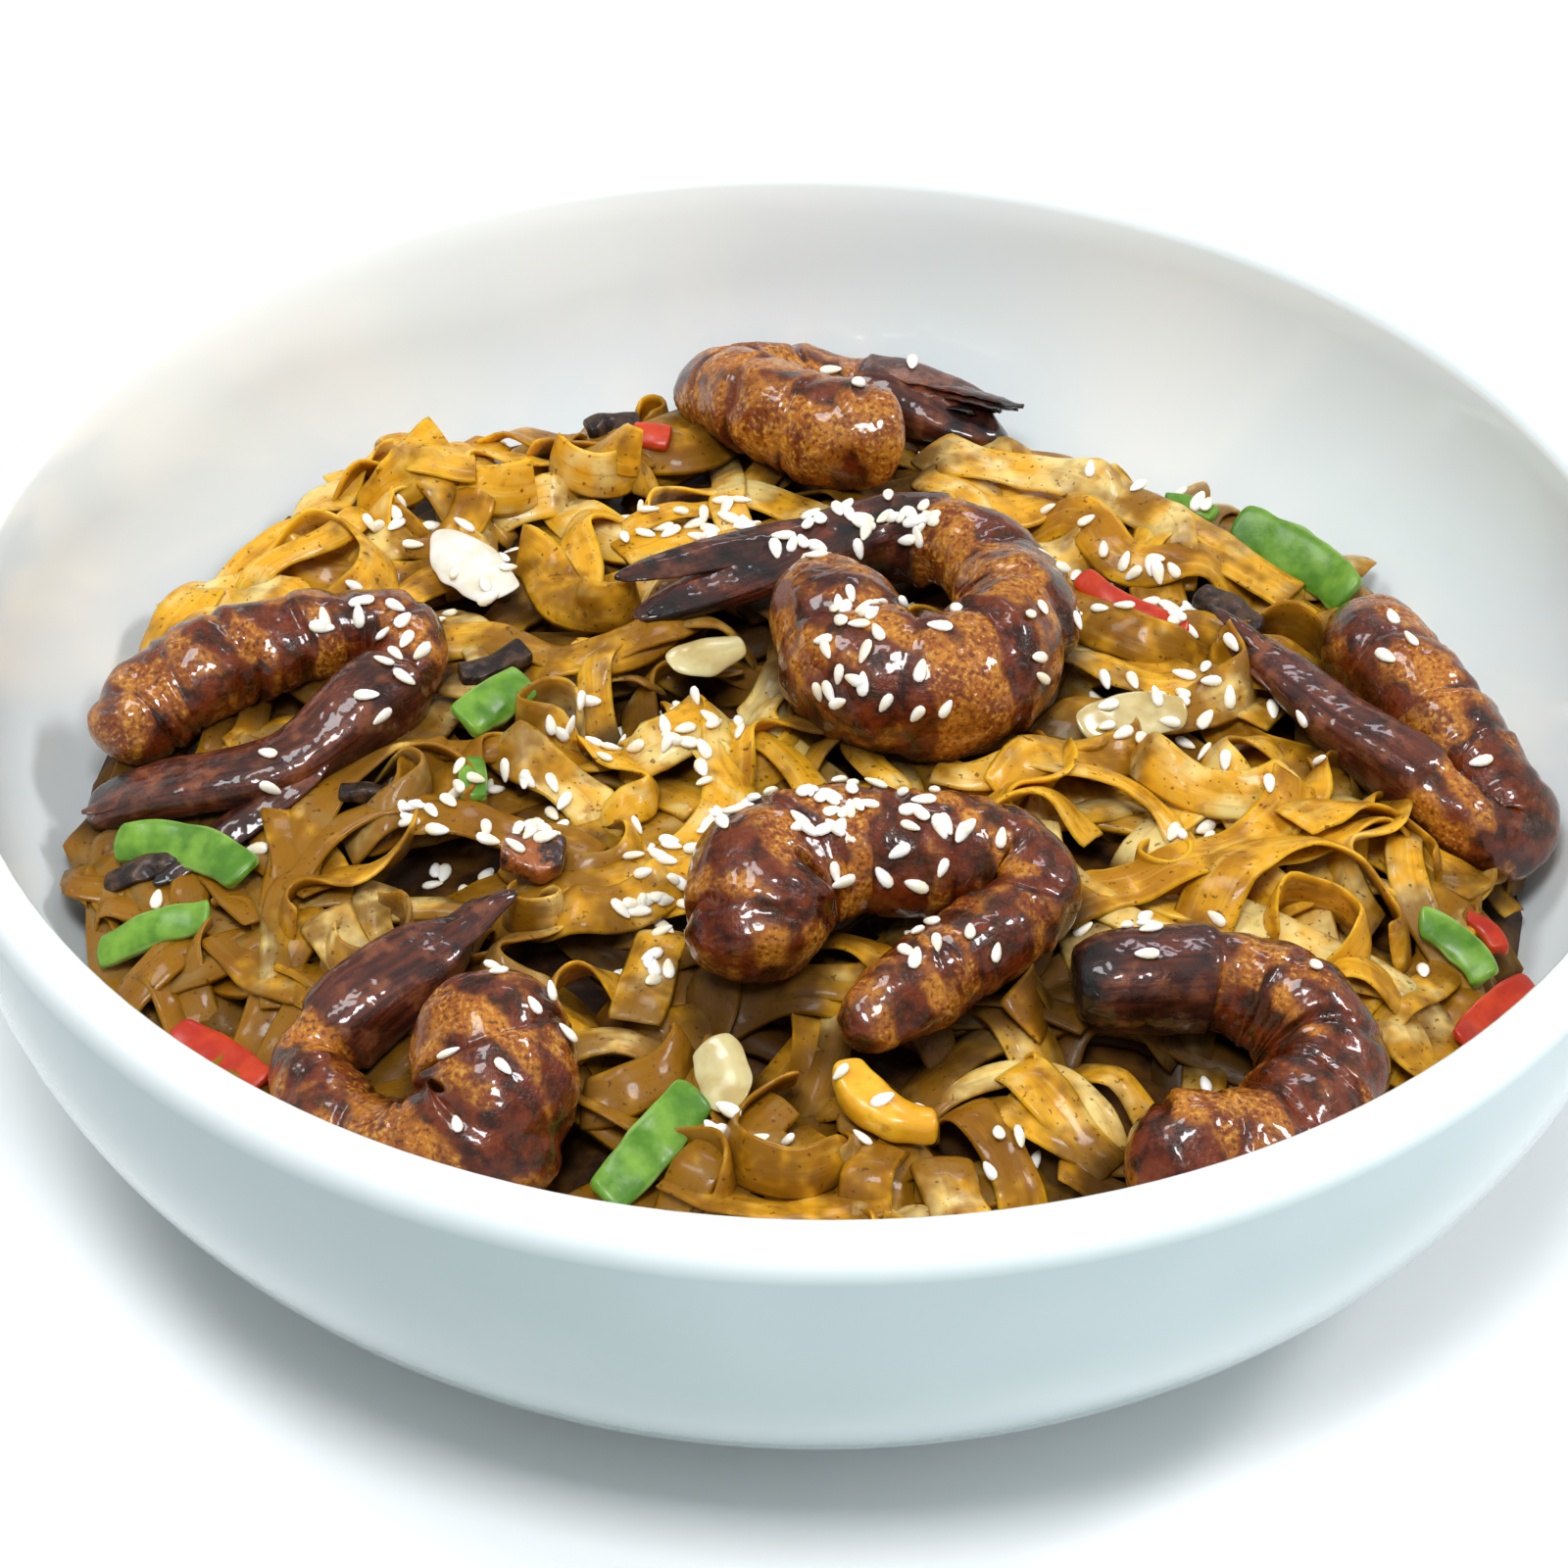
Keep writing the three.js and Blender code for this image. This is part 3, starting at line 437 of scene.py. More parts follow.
def prawnFrames(line, rings):  # place, sideways, above, curl in plan and direction at each ring
    reach = 4
    frames = []
    for i in range(rings + 1):
        low, high = max(0, i - reach), min(rings, i + reach)
        along = Vector(line[high][:3] - line[low][:3]).normalized()
        sideways = up.cross(along).normalized()
        middle = min(max(i, reach), rings - reach)
        entering = line[middle, :2] - line[middle - reach, :2]
        leaving = line[middle + reach, :2] - line[middle, :2]
        turn = entering[0] * leaving[1] - entering[1] * leaving[0]
        curl = turn / (np.linalg.norm(entering) ** 2 * np.linalg.norm(leaving))
        frames.append((Vector(line[i][:3]), sideways, along.cross(sideways), curl, along))
    return frames


def rounded(value, power):
    return math.copysign(abs(value) ** power, value)


def makePrawn(name, prawn, look):
    form, shell = prawnForm, prawn["shell"]
    rings, neck = form["rings"], form["neck"]
    line, length = alongLine(prawn["line"], rings)
    frames = prawnFrames(line, rings)
    seed = Vector((line[0][0], line[0][1], 0)) * 3
    bm = bmesh.new()
    layers = {word: bm.verts.layers.float.new(word) for word in ("glaze", "shell", "char", "u", "v")}
    bmesh.ops.create_uvsphere(bm, u_segments=form["around"], v_segments=rings, radius=1)
    for vert in bm.verts:
        i = round(math.acos(max(-1, min(1, vert.co.z))) / math.pi * rings)
        s = i / rings
        angle = math.atan2(vert.co.y, vert.co.x)
        spot, sideways, above, curl, _ = frames[i]
        wide, high = prawnSize(prawn, line[i][3], s)
        outer = -math.cos(angle) * (1 if curl > 0 else -1)  # 1 on the outside of the curl
        inner = max(0, -outer)
        drift = noise.noise(Vector((s * 9, math.cos(angle), math.sin(angle))) + seed) * 0.22
        beat = (s - neck) / (shell - neck) * form["segments"] + 0.2 * outer + drift
        inBody = float(smoothStep(0.02, 0.08, s) * (1 - smoothStep(shell - 0.05, shell, s)))
        phase = beat % 1
        slope = form["creaseFront" if phase < 0.5 else "creaseBack"]
        crease = math.exp(-(min(phase, 1 - phase) / slope) ** 2) * inBody
        depth = 0.5 + noise.noise(spot / 9 + Vector((math.cos(angle), math.sin(angle), 3)))
        ramp = (0.6 - phase) * inBody
        fold = abs(math.sin(math.pi * form["folds"] * beat)) ** 0.7 - 0.6
        size = 1 + form["swell"] * ramp - form["creaseDepth"] * crease * depth
        size += form["foldDepth"] * fold * inner ** 1.2 * inBody
        ragged = s + 0.008 * noise.noise(seed + above * outer * 3)
        shelled = float(smoothStep(shell - 0.004, shell + 0.008, ragged))
        size *= 1 + (form["shellStep"] - 1) * shelled
        square = 1 + (form["boxy"] - 1) * shelled
        outward = wide * size * rounded(math.cos(angle), square)
        room = 0.8 / abs(curl) if abs(curl) > 1e-6 else 1e6
        if outward * curl > 0:  # not past the middle of the curl
            outward = math.copysign(min(abs(outward), room), outward)
        place = spot + sideways * outward + above * (high * size * rounded(math.sin(angle), square))
        shove = sum(noise.noise(place / lump) * height for lump, height in form["lumps"])
        normal = (sideways * math.cos(angle) + above * math.sin(angle)).normalized()
        vert.co = place + normal * shove * min(1, high / 4) * (1 - 0.6 * shelled)
        across = (place.x + place.y) * 0.16
        smear = noise.noise(Vector((across, (place.y - place.x) * 0.05, place.z * 0.1)) + seed)
        groove = max(0, -fold) * inner * inBody
        glaze = prawn["glazed"] + prawnGlaze["crease"] * crease * depth + prawnGlaze["smear"] * smear
        glaze += prawnGlaze["fold"] * groove
        glaze += prawnGlaze["outside"] * max(0, outer) ** 2 * inBody
        vert[layers["glaze"]] = glaze - prawnGlaze["inside"] * inner
        vert[layers["shell"]] = shelled if shell < 0.9 else 0
        burnt = max(prawn["burnt"], float(smoothStep(0.8, 1.02, s)))
        vert[layers["char"]] = burnt * vert[layers["shell"]]
        vert[layers["u"]] = s * length
        vert[layers["v"]] = abs((angle - math.pi / 2 + math.pi) % (2 * math.pi) - math.pi) * line[i][3]
    addBlades(bm, layers, prawn, line, frames)
    bmesh.ops.remove_doubles(bm, verts=bm.verts, dist=0.01)
    bmesh.ops.recalc_face_normals(bm, faces=bm.faces)
    layUv(bm, "skin", layers)
    return finishPiece(bm, "prawn_" + name + "_glazed", look, ["prawn_" + name])


def addBlades(bm, layers, prawn, line, frames):  # long ridged plates of the tail fan
    tip = Vector(line[-1][:3])
    for number, (root, aside, angle, length, width, lift) in enumerate(prawn["blades"]):
        spot, sideways, above, _, along = frames[round(root * prawnForm["rings"])]
        tilt = Matrix.Rotation(math.radians(prawn["roll"]), 3, along)
        sideways, above = tilt @ sideways, tilt @ above
        turn = Matrix.Rotation(math.radians(angle), 3, above)
        onward, across = turn @ along, turn @ sideways
        drop = (line[-1][2] - spot.z) / max(1, (tip - spot).length) if prawn["roll"] >= 0 else 0
        made = bmesh.ops.create_uvsphere(bm, u_segments=blade["around"], v_segments=blade["rings"],
                                         radius=1)["verts"]
        for vert in made:
            s = (1 - vert.co.z) / 2  # 0 at the root, 1 at the tip
            around = math.atan2(vert.co.y, vert.co.x)
            shape = (math.sin(math.pi * min(1, s ** 0.62)) ** 0.5 if 0 < s < 1 else 0) * (0.7 + 0.3 * s)
            w = width / 2 * shape * math.cos(around)
            ridge = blade["ridge"] * math.exp(-(w / blade["ridgeWidth"]) ** 2)
            taper = math.sin(math.pi * min(0.97, 0.03 + s)) ** 0.5
            t = (blade["halfThick"] + ridge) * taper * math.sin(around)
            curve = -blade["dish"] * w * w - blade["droop"] * s * s
            base = spot + onward * (length * s) + across * (aside + w) + above * (t + lift + curve)
            base.z += drop * length * s * blade["lean"]
            fray = noise.noise(base / 1.3 + Vector((number * 9, 0, 0))) * 0.3
            fray += noise.noise(base / 4) * 0.5
            vert.co = base + above * fray + across * fray * 0.6
            vert[layers["glaze"]] = 0
            vert[layers["shell"]] = 1
            burnt = prawn["burnt"] + 0.15 * (number % 2)
            vert[layers["char"]] = max(burnt, float(smoothStep(0.6, 1, s)))
            vert[layers["u"]] = length * s + number * 31
            vert[layers["v"]] = abs(w) + number * 17 + 6


food = [bed]
prawnLook = prawnFleshLook()
for prawnName, prawnData in prawns.items():
    food.append(makePrawn(prawnName, prawnData, prawnLook))
print("prawns made")


# ---- toppings laid along bent routes: x, y, heading, length, bend, width, tilt, and where it isn't the
# usual one the thickness and how much of the width is left at either end

pieces = {
    "green_pepper_1": (-95, -6, -10, 24, -45, 6.5, 35),
    "green_pepper_2": (-96, -23, 5, 16, -10, 5.5, 30),
    "green_pepper_3": (-13, -64, -125, 20, -5, 7, -25),
    "green_pepper_4": (61, 70, -30, 24, -30, 7.5, 35),
    "green_pepper_5": (83, -20, 0, 13, -75, 5, 35),
    "green_pepper_6": (-48, 7, 50, 13, -5, 6.5, 30),
    "green_pepper_7": (51, 73, 15, 8, -50, 3.5, 20),
    "green_pepper_8": (-46, 0, -85, 9, 0, 4, 0),
    "red_pepper_1": (-84, -39, -40, 19, -15, 6, 20),
    "red_pepper_2": (38, 47, -60, 20, 45, 4.2, 25),
    "red_pepper_3": (-27, 83, -15, 6, 5, 4.4, 30, 2.6),
    "red_pepper_4": (88, -40, 60, 19, -10, 5.5, 25),
    "red_pepper_5": (90, -16, -5, 7, -80, 3, 0),
    "onion_1": (-54, 54, -58, 20, 0, 9, 12, 2, 0.05, 0.6),
    "onion_2": (37, 8, 40, 17, -35, 7, 30, 2.2, 0.5, 0.5),
    "onion_3": (-12, -56, -65, 12, -20, 7.5, 20, 2.2, 0.7, 0.15),
    "onion_4": (-20, 20, 30, 12, -10, 6.5, 12, 2.2, 0.3, 0.5),
    "egg": (6, -61, -75, 16, 85, 6.5, 0, 4.8, 0.6, 0.6),
    "mushroom_1": (-34, 84, 25, 9, -5, 4, 30),
    "mushroom_2": (55, 46, -50, 11, 40, 6, 0, 2.2, 0.5, 0.7),
    "mushroom_3": (-96, -12, 5, 11, 5, 4, 20),
    "mushroom_4": (-64, -5, -5, 7, 5, 3, 0),
    "mushroom_5": (-41, -21, -5, 9, 0, 7.5, 0, 4, 0.7, 0.7),
    "mushroom_6": (-49, 19, 15, 11, 30, 4.5, 0),
}
usualEnds = (2.2, 0.8, 0.8)
toppingForm = {"rings": 28, "around": 24, "cap": 0.04, "wander": 0.16, "arch": 0.09, "wave": 1.4}
pieceKinds = {  # kind: share of the thickness, squareness and roughness
    "green_pepper": (0.8, 0.4, 0.35), "red_pepper": (0.8, 0.4, 0.35), "onion": (0.35, 0.6, 0.35),
    "egg": (1, 0.6, 0.35), "mushroom": (1, 0.6, 0.9),
}


def routeOf(strip, count):  # x, y, direction and curl at count + 1 even steps
    s = np.linspace(0, 1, count + 1)
    turn = strip["heading"] + strip["bend"][0] * s + (strip["bend"][1] - strip["bend"][0]) * s * s / 2
    if "wave" in strip:
        size, waves, phase = strip["wave"]
        turn = turn + size * (np.sin(2 * math.pi * (waves * s + phase)) - math.sin(2 * math.pi * phase))
    turn = np.radians(turn)
    step = strip["length"] / count
    stepX, stepY = ((part(turn[1:]) + part(turn[:-1])) / 2 * step for part in (np.cos, np.sin))
    x = strip["x"] + np.concatenate([[0], np.cumsum(stepX)])
    y = strip["y"] + np.concatenate([[0], np.cumsum(stepY)])
    return x, y, turn, np.gradient(turn, step)


def pepperLook(name, skin, light, cut):
    look = newLook(name, Roughness=0.42, Coat_Weight=0.2, Coat_Roughness=0.2, Specular_IOR_Level=0.3,
                   Subsurface_Weight=0.25, Subsurface_Scale=0.001, Subsurface_Radius=(0.8, 1, 0.4))
    face = blend(look, band(look, blobs(look, 5, 3), 0.35, 0.7), skin, light)
    atEdge = band(look, attribute(look, "cut"), 0.8, 1.0, 0, 0.7)
    feed(look, "Base Color", blend(look, atEdge, face, cut))
    bumps(look, blobs(look, 1.6, 2), 0.12)
    return look


def onionLook(name, light, dark, vein):
    look = newLook(name, Roughness=0.25, Coat_Weight=0.4, Coat_Roughness=0.12,
                   Subsurface_Weight=0.5, Subsurface_Scale=0.003, Subsurface_Radius=(1, 0.85, 0.6))
    veins = blobs(look, 1, 2, stretch=(14, 0.6, 1), ribbon=True)
    body = blend(look, band(look, blobs(look, 6, 3), 0.4, 0.65), light, dark)
    feed(look, "Base Color", blend(look, band(look, veins, 0.45, 0.7, 0, 0.5), body, vein))
    bumps(look, veins, 0.2)
    return look


def eggLook():
    look = newLook("cooked egg", Roughness=0.32, Coat_Weight=0.4, Coat_Roughness=0.15,
                   Subsurface_Weight=0.3, Subsurface_Scale=0.002, Subsurface_Radius=(1, 0.6, 0.15))
    body = blend(look, band(look, blobs(look, 5, 3), 0.38, 0.66), "dc9c14", "eeba2c")
    feed(look, "Base Color", blend(look, band(look, blobs(look, 2.5, 3), 0.56, 0.74, 0, 0.5), body, "a0641a"))
    bumps(look, blobs(look, 3, 2), 0.15)
    return look


def darkLook(name, dark, light, patch, high, grain, **sockets):
    look = newLook(name, **sockets)
    feed(look, "Base Color", blend(look, band(look, blobs(look, patch, 4), 0.4, high), dark, light))
    bumps(look, blobs(look, grain, 3), 0.4)
    return look


pieceLooks = {
    "green_pepper": pepperLook("green pepper", "467616", "76a034", "98b860"),
    "red_pepper": pepperLook("red pepper", "a8240a", "c43c14", "c85824"),
    "onion": onionLook("cooked onion", "d6c690", "bca468", "a08650"),
    "onion_1": onionLook("white onion", "f6f0e0", "e2d6ba", "d0bf98"),
    "egg": eggLook(),
    "mushroom": darkLook("dark mushroom", "1a100b", "4a3222", 2.2, 0.65, 1.1, Roughness=0.5,
                         Coat_Weight=0.2, Coat_Roughness=0.2, Specular_IOR_Level=0.25),
    "mushroom_5": darkLook("browned piece", "2e120a", "9a531c", 2.6, 0.62, 1.4, Roughness=0.3,
                           Coat_Weight=0.6, Coat_Roughness=0.15),
}


def makeTopping(name, row):  # a rounded slab from a ball, laid along its route
    x, y, heading, length, bend, width, tilt = row[:7]
    thick, startShare, endShare = row[7:] + usualEnds[len(row) - 7:]
    kind = name.rstrip("_12345678")
    thin, squareness, rough = pieceKinds[kind]
    rings = toppingForm["rings"]
    route = routeOf({"x": x, "y": y, "heading": heading, "length": length, "bend": (bend, bend)}, rings)
    lean = math.radians(tilt)
    bm = bmesh.new()
    cut = bm.verts.layers.float.new("cut")
    uv = bm.loops.layers.uv.new("along")
    bmesh.ops.create_uvsphere(bm, u_segments=toppingForm["around"], v_segments=rings, radius=1)
    place = {}
    for vert in bm.verts:
        i = round(math.acos(max(-1, min(1, vert.co.z))) / math.pi * rings)
        done = i / rings
        around = math.atan2(vert.co.y, vert.co.x)
        endShape = startShare if done < 0.5 else endShare
        share = endShape + (1 - endShape) * math.sin(math.pi * done) ** 0.7
        cap = min(1, (min(done, 1 - done) / toppingForm["cap"])) ** 0.3
        edgeNoise = noise.noise(Vector((done * length / 4, x, 3 * (math.cos(around) > 0))))
        wander = 1 + toppingForm["wander"] * edgeNoise
        w = width / 2 * share * cap * wander * rounded(math.cos(around), squareness)
        t = thick * thin / 2 * (0.7 + 0.3 * share) * cap * rounded(math.sin(around), squareness)
        sideways = Vector((-math.sin(route[2][i]), math.cos(route[2][i]), 0))
        along = Vector((math.cos(route[2][i]), math.sin(route[2][i]), 0))
        across = sideways * math.cos(lean) + up * math.sin(lean)
        through = along.cross(across)
        arch = toppingForm["arch"] * width * (1 - (2 * w / width) ** 2)
        spot = Vector((route[0][i], route[1][i], 0))
        spot.z = float(heapTop(spot.x, spot.y)) + thick / 2 + 0.25 * width * abs(math.sin(lean)) + 0.3
        point = spot + across * w + through * (t + arch)
        point += through * (noise.noise(point / 3.1) * rough + noise.noise(point / 9) * toppingForm["wave"])
        vert.co = point
        place[vert] = (done * length / 10, 0.5 + w / width)
        vert[cut] = max(abs(2 * w / width), 1 - t / thick * 2 if t < 0 else 0)
    for face in bm.faces:
        for loop in face.loops:
            loop[uv].uv = place[loop.vert]
    bmesh.ops.recalc_face_normals(bm, faces=bm.faces)
    look = pieceLooks.get(name, pieceLooks[kind])
    piece = finishPiece(bm, name + "_cooked", look, [name])
    subdivide(piece, 1)
    return piece


for pieceName, pieceRow in pieces.items():
    food.append(makeTopping(pieceName, pieceRow))
print("toppings made")


# ---- noodles: ribbons dropped one after another on a map of the heap's height

noodles = {"width": 8.2, "thickness": 1.0, "stride": 2.0, "shownStand": 78, "slope": 0.75,
           "dive": 5, "edgeRoom": 1.5, "shownLift": 0.8, "highest": (1.5, 7.5), "pressed": 0.6,
           "widths": (0.55, 1.05), "shownWidths": (0.9, 1.1), "waves": (0.6, 1.7), "twist": 16,
           "tucked": 0.7, "wallBand": 70, "fewestSteps": 6, "stainReach": 11, "frontLeftDarkening": 0.75,
           "besideGirth": 4.2, "crown": 0.45, "warp": (9, 0.9), "crumple": (3.7, 0.55)}
mapReach = int(bowl["rimRadius"])  # the height map has a cell a millimetre, this many each way
shownNoodles = [  # x, y, heading, length, bend at the start, bend at the end
    (7, -69, -70, 44, -335, -235), (19, -60, -50, 23, 15, -100), (26, -53, -55, 22, 20, 15),
    (13, -67, -120, 17, 30, 30), (18, -68, -85, 16, 15, 15), (-17, -29, -115, 23, 50, -25),
    (-16, -49, -60, 24, -165, -85), (-16, -82, 60, 23, -15, -15), (-46, -10, 50, 63, 510, -90),
    (-53, -13, -90, 29, -360, 500), (-80, -23, -145, 26, 220, -40), (-78, -25, -65, 19, 35, 30),
    (-100, -16, 15, 22, -80, -30), (-81, -9, -60, 19, 0, -5), (24, 71, 40, 30, 25, 20),
    (48, 81, 95, 33, -275, -145), (48, 71, -70, 28, 110, -30), (32, 11, 50, 39, -205, 315),
    (-79, 78, 20, 25, -200, 55), (-79, 51, 60, 40, -280, -135), (-60, 54, 140, 34, -290, 100),
    (-42, 76, 45, 22, -125, -95), (-42, 50, -25, 31, -285, 605), (-26, 3, 0, 19, 70, 60),
    (-14, 4, -50, 57, -240, -35), (-17, -20, -95, 24, -125, -70), (-54, -12, 0, 27, -10, -70),
    (45, 11, -105, 34, 195, 140), (67, 3, -85, 50, -210, 115), (52, -29, 65, 49, -20, -385),
    (66, -9, 45, 30, 0, -335), (63, -30, 115, 33, -270, -310), (68, -34, 15, 19, -60, -45),
    (26, -6, 60, 29, -185, 270), (-74, 58, 40, 20, 120, -200), (-60, 72, -20, 22, -90, 200),
    (-50, 80, -10, 20, 160, -160), (-38, 74, -70, 18, 120, 240), (-66, 62, -20, 20, 260, -120),
    (-25, 70, 160, 22, -180, 120), (-70, 62, 75, 24, -200, 60), (88, -4, -80, 20, -60, 40),
    (80, -46, 50, 22, 60, -40), (-88, -34, -40, 24, -120, 160), (20, 84, -15, 26, 120, -160),
    (96, 12, -95, 26, -30, -30),
]
# how much of the middle stays bare, count, shortest, longest, then in degrees least bend, most bend, wave
# and how far they stand up in a bend
noodleLayers = {
    "noodles_deep": (0, 95, 45, 95, 20, 140, 40, 60),
    "noodles_loose": (0, 140, 24, 64, 20, 150, 50, 66),
    "noodles_curled": (0, 44, 20, 42, 140, 330, 30, 84),
    "noodles_edge": (0.84, 44, 26, 46, 20, 110, 50, 40),
}


def noodleLook():
    look = newLook("fried noodle", Coat_Roughness=0.12, Specular_IOR_Level=0.12,
                   Subsurface_Weight=0.3, Subsurface_Scale=0.003, Subsurface_Radius=(1, 0.6, 0.2))
    tone, stain, depth = (attribute(look, word) for word in ("tone", "stain", "depth"))
    uvParts = addNode(look, "TexCoord", {}, output="UV")
    acrossUv = addNode(look, "SeparateXYZ", {0: uvParts}, output=1)
    edge = maths(look, "ABSOLUTE", maths(look, "SUBTRACT", acrossUv, 0.5), 0)
    patch = blobs(look, 7, 2)
    fine = blobs(look, 2.2, 2)
    streak = blobs(look, 1, 2, stretch=(3, 0.16, 1), ribbon=True)
    shade = maths(look, "ADD", maths(look, "MULTIPLY", tone, 0.45), maths(look, "MULTIPLY", patch, 1.1))
    body = blend(look, band(look, shade, 0.5, 0.78), "e6cc84", "da9f22")
    body = blend(look, band(look, shade, 0.84, 1.1), body, "a8700e")
    body = blend(look, band(look, streak, 0.5, 0.72, 0, 0.4), body, "e6c468")
    body = blend(look, band(look, streak, 0.28, 0.46, 0.35, 0), body, "9c6614")
    # painted glow: the ribbons' edges are coloured a brighter yellow for light shining through their thin
    # edges
    body = blend(look, band(look, edge, 0.36, 0.49, 0, 0.55), body, "eab01c")
    soaked = maths(look, "ADD", maths(look, "MULTIPLY", stain, 0.4), blobs(look, 5, 2))
    body = blend(look, band(look, soaked, 0.52, 0.92, 0, 0.85), body, "744806")
    body = blend(look, band(look, fine, 0.58, 0.76, 0, 0.5), body, "8e5810")
    body = blend(look, band(look, blobs(look, 0.9, 1), 0.66, 0.73, 0, 0.7), body, "4a2406")
    # painted shade: noodles lying deep in the heap and close beside the prawns are darkened, partly for sauce
    # and partly for the shade and contact shadow there
    body = blend(look, band(look, depth, 0.05, 0.8, 0, 0.93), body, "2a1604")
    feed(look, "Base Color", body)
    dry = band(look, patch, 0.35, 0.65, 0.3, 0.48)
    feed(look, "Roughness", maths(look, "ADD", dry, maths(look, "MULTIPLY", depth, 0.2)))
    shine = band(look, depth, 0, 0.7, 1, 0.1)
    feed(look, "Coat Weight", maths(look, "MULTIPLY", shine, 0.2))
    soft = bumps(look, blobs(look, 3.5, 1), 0.3)
    bumps(look, blobs(look, 1, 1, stretch=(1.6, 0.08, 1), ribbon=True), 0.06, soft)
    feed(look, "Coat Normal", soft)
    return look


def coveredBy():  # points of the prawns and toppings that press on the noodles: x, y, z and girth
    points = [alongLine(prawn["line"], 24)[0] for prawn in prawns.values()]
    for row in pieces.values():
        x, y, _, _ = routeOf({"x": row[0], "y": row[1], "heading": row[2], "length": row[3],
                              "bend": (row[4], row[4])}, 4)
        points.append(np.stack([x, y, heapTop(x, y) + 1, np.full(5, 0.45 * row[5])], 1))
    return np.concatenate(points)


def spreadNoodles(draw, bare, count, shortest, longest, leastBend, mostBend, wave, stand):
    spread = []  # each noodle's middle is near its own point of an even spiral
    for i in range(count):
        radius = (heap["radius"] - 3) * math.sqrt(bare + (1 - bare) * (i + 0.5) / count)
        angle = i * math.pi * (3 - math.sqrt(5)) + draw.uniform(-0.1, 0.1)
        heading = draw.uniform(0, 360)
        length = draw.uniform(shortest, longest)
        if radius > noodles["wallBand"]:  # near the wall they lie along it
            heading = math.degrees(angle) + 90 + draw.uniform(-60, 60)
        back = length / 2
        bend = draw.choice([-1, 1]) * draw.uniform(leastBend, mostBend)
        chord = math.radians(heading + bend / 2)
        spread.append({
            "x": radius * math.cos(angle) - back * math.cos(chord) * 0.8,
            "y": radius * math.sin(angle) - back * math.sin(chord) * 0.8,
            "heading": heading, "length": length,
            "bend": (bend * draw.uniform(0, 1.6), bend * draw.uniform(0, 1.6)),
            "wave": (draw.uniform(0.2, 1) * wave, draw.uniform(*noodles["waves"]), draw.random()),
            "arch": draw.choice([0, 0, 1, 2]), "highest": draw.uniform(*noodles["highest"]),
            "twist": draw.uniform(-noodles["twist"], noodles["twist"]), "stand": stand,
            "ends": (draw.random() < noodles["tucked"], draw.random() < noodles["tucked"]),
            "tone": draw.random(), "width": noodles["width"] * draw.uniform(*noodles["widths"]),
        })
    draw.shuffle(spread)
    return spread


def insideRun(x, y):  # the longest stretch inside the heap's edge
    runs, start = [], None
    for i, isInside in enumerate(list(np.hypot(x, y) < heap["radius"] - 1) + [False]):
        if isInside and start is None:
            start = i
        if not isInside and start is not None:
            runs.append((i - start, start, i))
            start = None
    longest = max(runs, default=(0, 0, 0))
    return longest[1], longest[2]


def makeHeightMap():
    grid = np.arange(-mapReach, mapReach + 1)
    x, y = np.meshgrid(grid, grid, indexing="ij")
    return bedTop(x, y)


def smoothed(values):  # each value made the mean of five
    return np.convolve(np.pad(values, 2, mode="edge"), np.ones(5) / 5, mode="valid")


